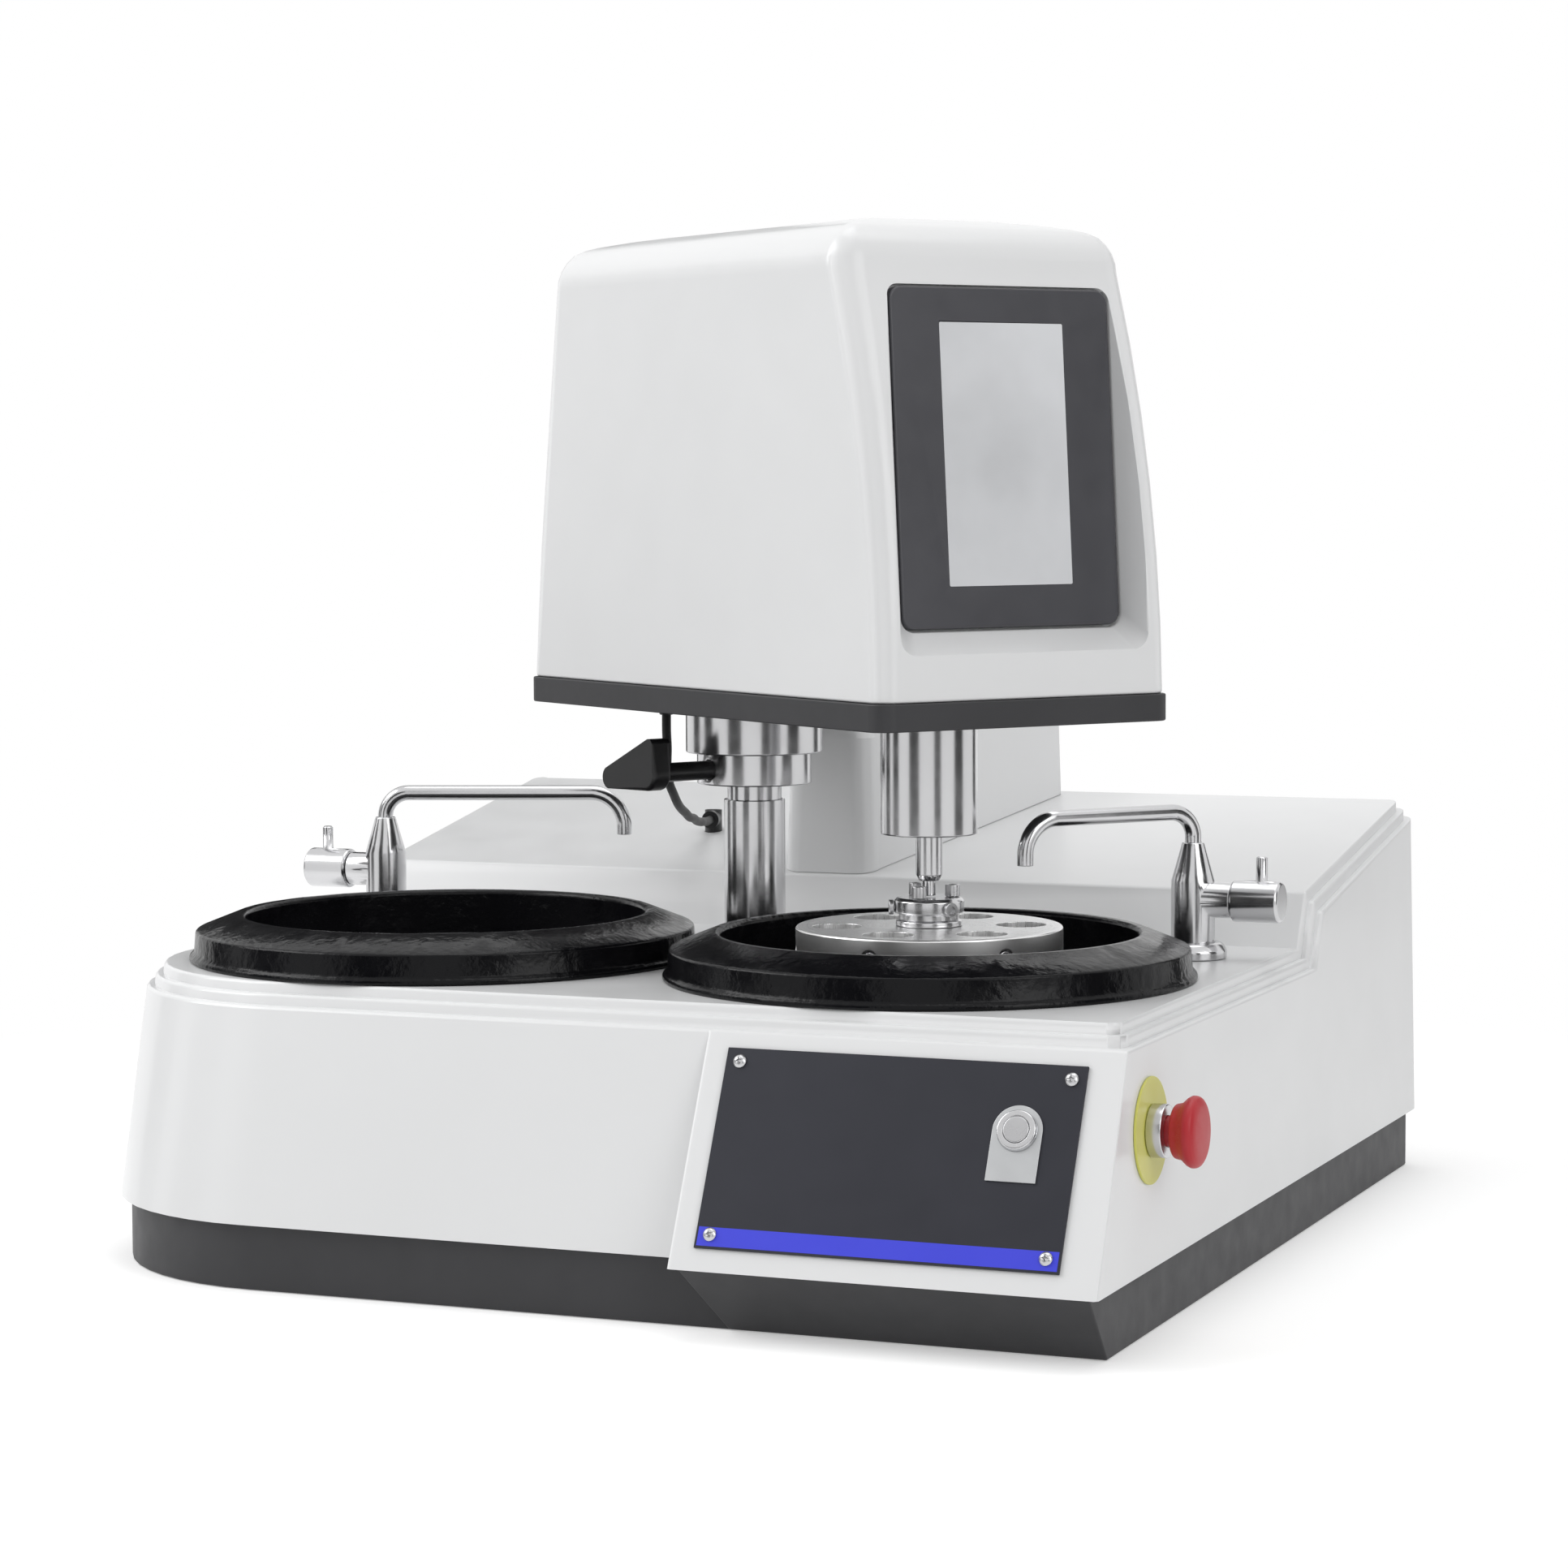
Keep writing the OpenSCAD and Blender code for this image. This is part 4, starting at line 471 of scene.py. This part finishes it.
# ---------------------------------------------------------------- stripe along the panel's lower edge
def console_box(name, x0, x1, s0, s1, z0, z1, mat):
    """A box on the console: across, up the slope and out from it."""
    bm = bmesh.new()
    bmesh.ops.create_cube(bm, size=1)
    for v in bm.verts:
        v.co = Vector(((x0 + x1) / 2 + v.co.x * (x1 - x0), (s0 + s1) / 2 + v.co.y * (s1 - s0),
                       (z0 + z1) / 2 + v.co.z * (z1 - z0)))
    bmesh.ops.bevel(bm, geom=bm.edges[:], offset=(z1 - z0) / 3, segments=2, affect="EDGES")
    bmesh.ops.transform(bm, matrix=console, verts=bm.verts)
    finish_piece(smooth(mesh_object(name, bm)), mat, "base")


STRIPE_INSET, STRIPE_TOP = 0.0012, 0.0125
console_box("panel_band", PANEL_X + STRIPE_INSET, PANEL_X + PANEL_W - STRIPE_INSET,
            PANEL_S + STRIPE_INSET, PANEL_S + STRIPE_TOP, 0.0012, 0.00178, band_blue)

# ---------------------------------------------------------------- stage and light
FLOOR_GLOW, FLOOR_DROP = 0.34, 0.0004
FADE_START, FADE_END = 0.5, 1.1
WORLD_LIGHT, WORLD_SEEN = 0.45, 1.0


def seen_rays(nt):
    """1 for rays that show the stage itself: camera, glossy and transmission."""
    path = nt.nodes.new("ShaderNodeLightPath")
    total = path.outputs["Is Camera Ray"]
    for kind in ("Is Glossy Ray", "Is Transmission Ray"):
        either = nt.nodes.new("ShaderNodeMath")
        either.operation = "MAXIMUM"
        nt.links.new(total, either.inputs[0])
        nt.links.new(path.outputs[kind], either.inputs[1])
        total = either.outputs[0]
    return total


def times(nt, a, b):
    m = nt.nodes.new("ShaderNodeMath")
    m.operation = "MULTIPLY"
    for socket, value in zip(m.inputs, (a, b)):
        if isinstance(value, float):
            socket.default_value = value
        else:
            nt.links.new(value, socket)
    return m.outputs[0]


# The floor shows the object's shadow near it, and turns to plain white with distance
bm = bmesh.new()
bmesh.ops.create_grid(bm, x_segments=2, y_segments=2, size=30)
floor = mesh_object("floor", bm)
floor.location.z = -FLOOR_DROP
floor_mat, nt, b = new_material("floor_white")
b.inputs["Roughness"].default_value = 0.9
b.inputs["Specular IOR Level"].default_value = 0.1
tint(nt, b, place(nt), (0.86, 0.86, 0.86), 0.003, 2)
away = nt.nodes.new("ShaderNodeVectorMath")
away.operation = "LENGTH"
nt.links.new(place(nt), away.inputs[0])
fade = spread(nt, away.outputs["Value"], 0.0, 1.0, FADE_START, FADE_END)
rays = seen_rays(nt)
b.inputs["Emission Color"].default_value = (1, 1, 1, 1)
nt.links.new(times(nt, rays, FLOOR_GLOW), b.inputs["Emission Strength"])
plain_white = nt.nodes.new("ShaderNodeEmission")
mix = nt.nodes.new("ShaderNodeMixShader")
nt.links.new(times(nt, rays, fade), mix.inputs["Fac"])
nt.links.new(b.outputs["BSDF"], mix.inputs[1])
nt.links.new(plain_white.outputs["Emission"], mix.inputs[2])
nt.links.new(mix.outputs["Shader"], nt.nodes["Material Output"].inputs["Surface"])
floor.data.materials.append(floor_mat)


def flag(name, place_at, size, turn):
    """A dark card that only reflections see, for contrast in the bright metal."""
    bm = bmesh.new()
    bmesh.ops.create_grid(bm, x_segments=1, y_segments=1, size=0.5)
    card = mesh_object(name, bm)
    card.scale = (*size, 1)
    card.location = place_at
    card.rotation_euler = turn
    card.data.materials.append(card_black)
    for ray in ("camera", "diffuse", "shadow", "transmission", "volume_scatter"):
        setattr(card, "visible_" + ray, False)


card_black, nt, b = new_material("card_black")
b.inputs["Roughness"].default_value = 0.9
tint(nt, b, place(nt), (0.02, 0.02, 0.02), 0.1, 3)
UPRIGHT = math.radians(90)
CARD_DISTANCE, CARD_MIDDLE, CARD_TALL = 2.2, 0.7, 1.6
# Direction from the object in degrees, and width
CARDS = ((-150, 0.7), (-100, 0.9), (-48, 0.55), (2, 0.9), (60, 0.6), (125, 1.0), (180, 0.7))
for side, width in CARDS:
    turn = math.radians(side)
    spot = (CARD_DISTANCE * math.cos(turn), CARD_DISTANCE * math.sin(turn), CARD_MIDDLE)
    flag("card_%d" % (side + 180), spot, (width, CARD_TALL), (UPRIGHT, 0, turn + UPRIGHT))

world = bpy.data.worlds.new("studio")
scene.world = world
world.use_nodes = True
wt = world.node_tree
back = wt.nodes["Background"]
back.inputs["Color"].default_value = (1, 1, 1, 1)
wt.links.new(spread(wt, seen_rays(wt), WORLD_LIGHT, WORLD_SEEN, 0.0, 1.0), back.inputs["Strength"])


def area(name, place_at, target, size, power):
    """A square light that faces the target."""
    data = bpy.data.lights.new(name, "AREA")
    data.shape = "SQUARE"
    data.size = size
    data.energy = power
    o = link(bpy.data.objects.new(name, data))
    o.location = place_at
    o.rotation_mode = "QUATERNION"
    o.rotation_quaternion = (Vector(target) - Vector(place_at)).to_track_quat("-Z", "Y")


area("key", (-2.9, -1.3, 2.5), (0, 0, 0.25), 2.4, 76)
area("fill", (2.6, -1.6, 1.6), (0, 0, 0.25), 2.0, 25)
area("top", (0.2, 0.4, 3.2), (0, 0, 0.2), 2.2, 26)
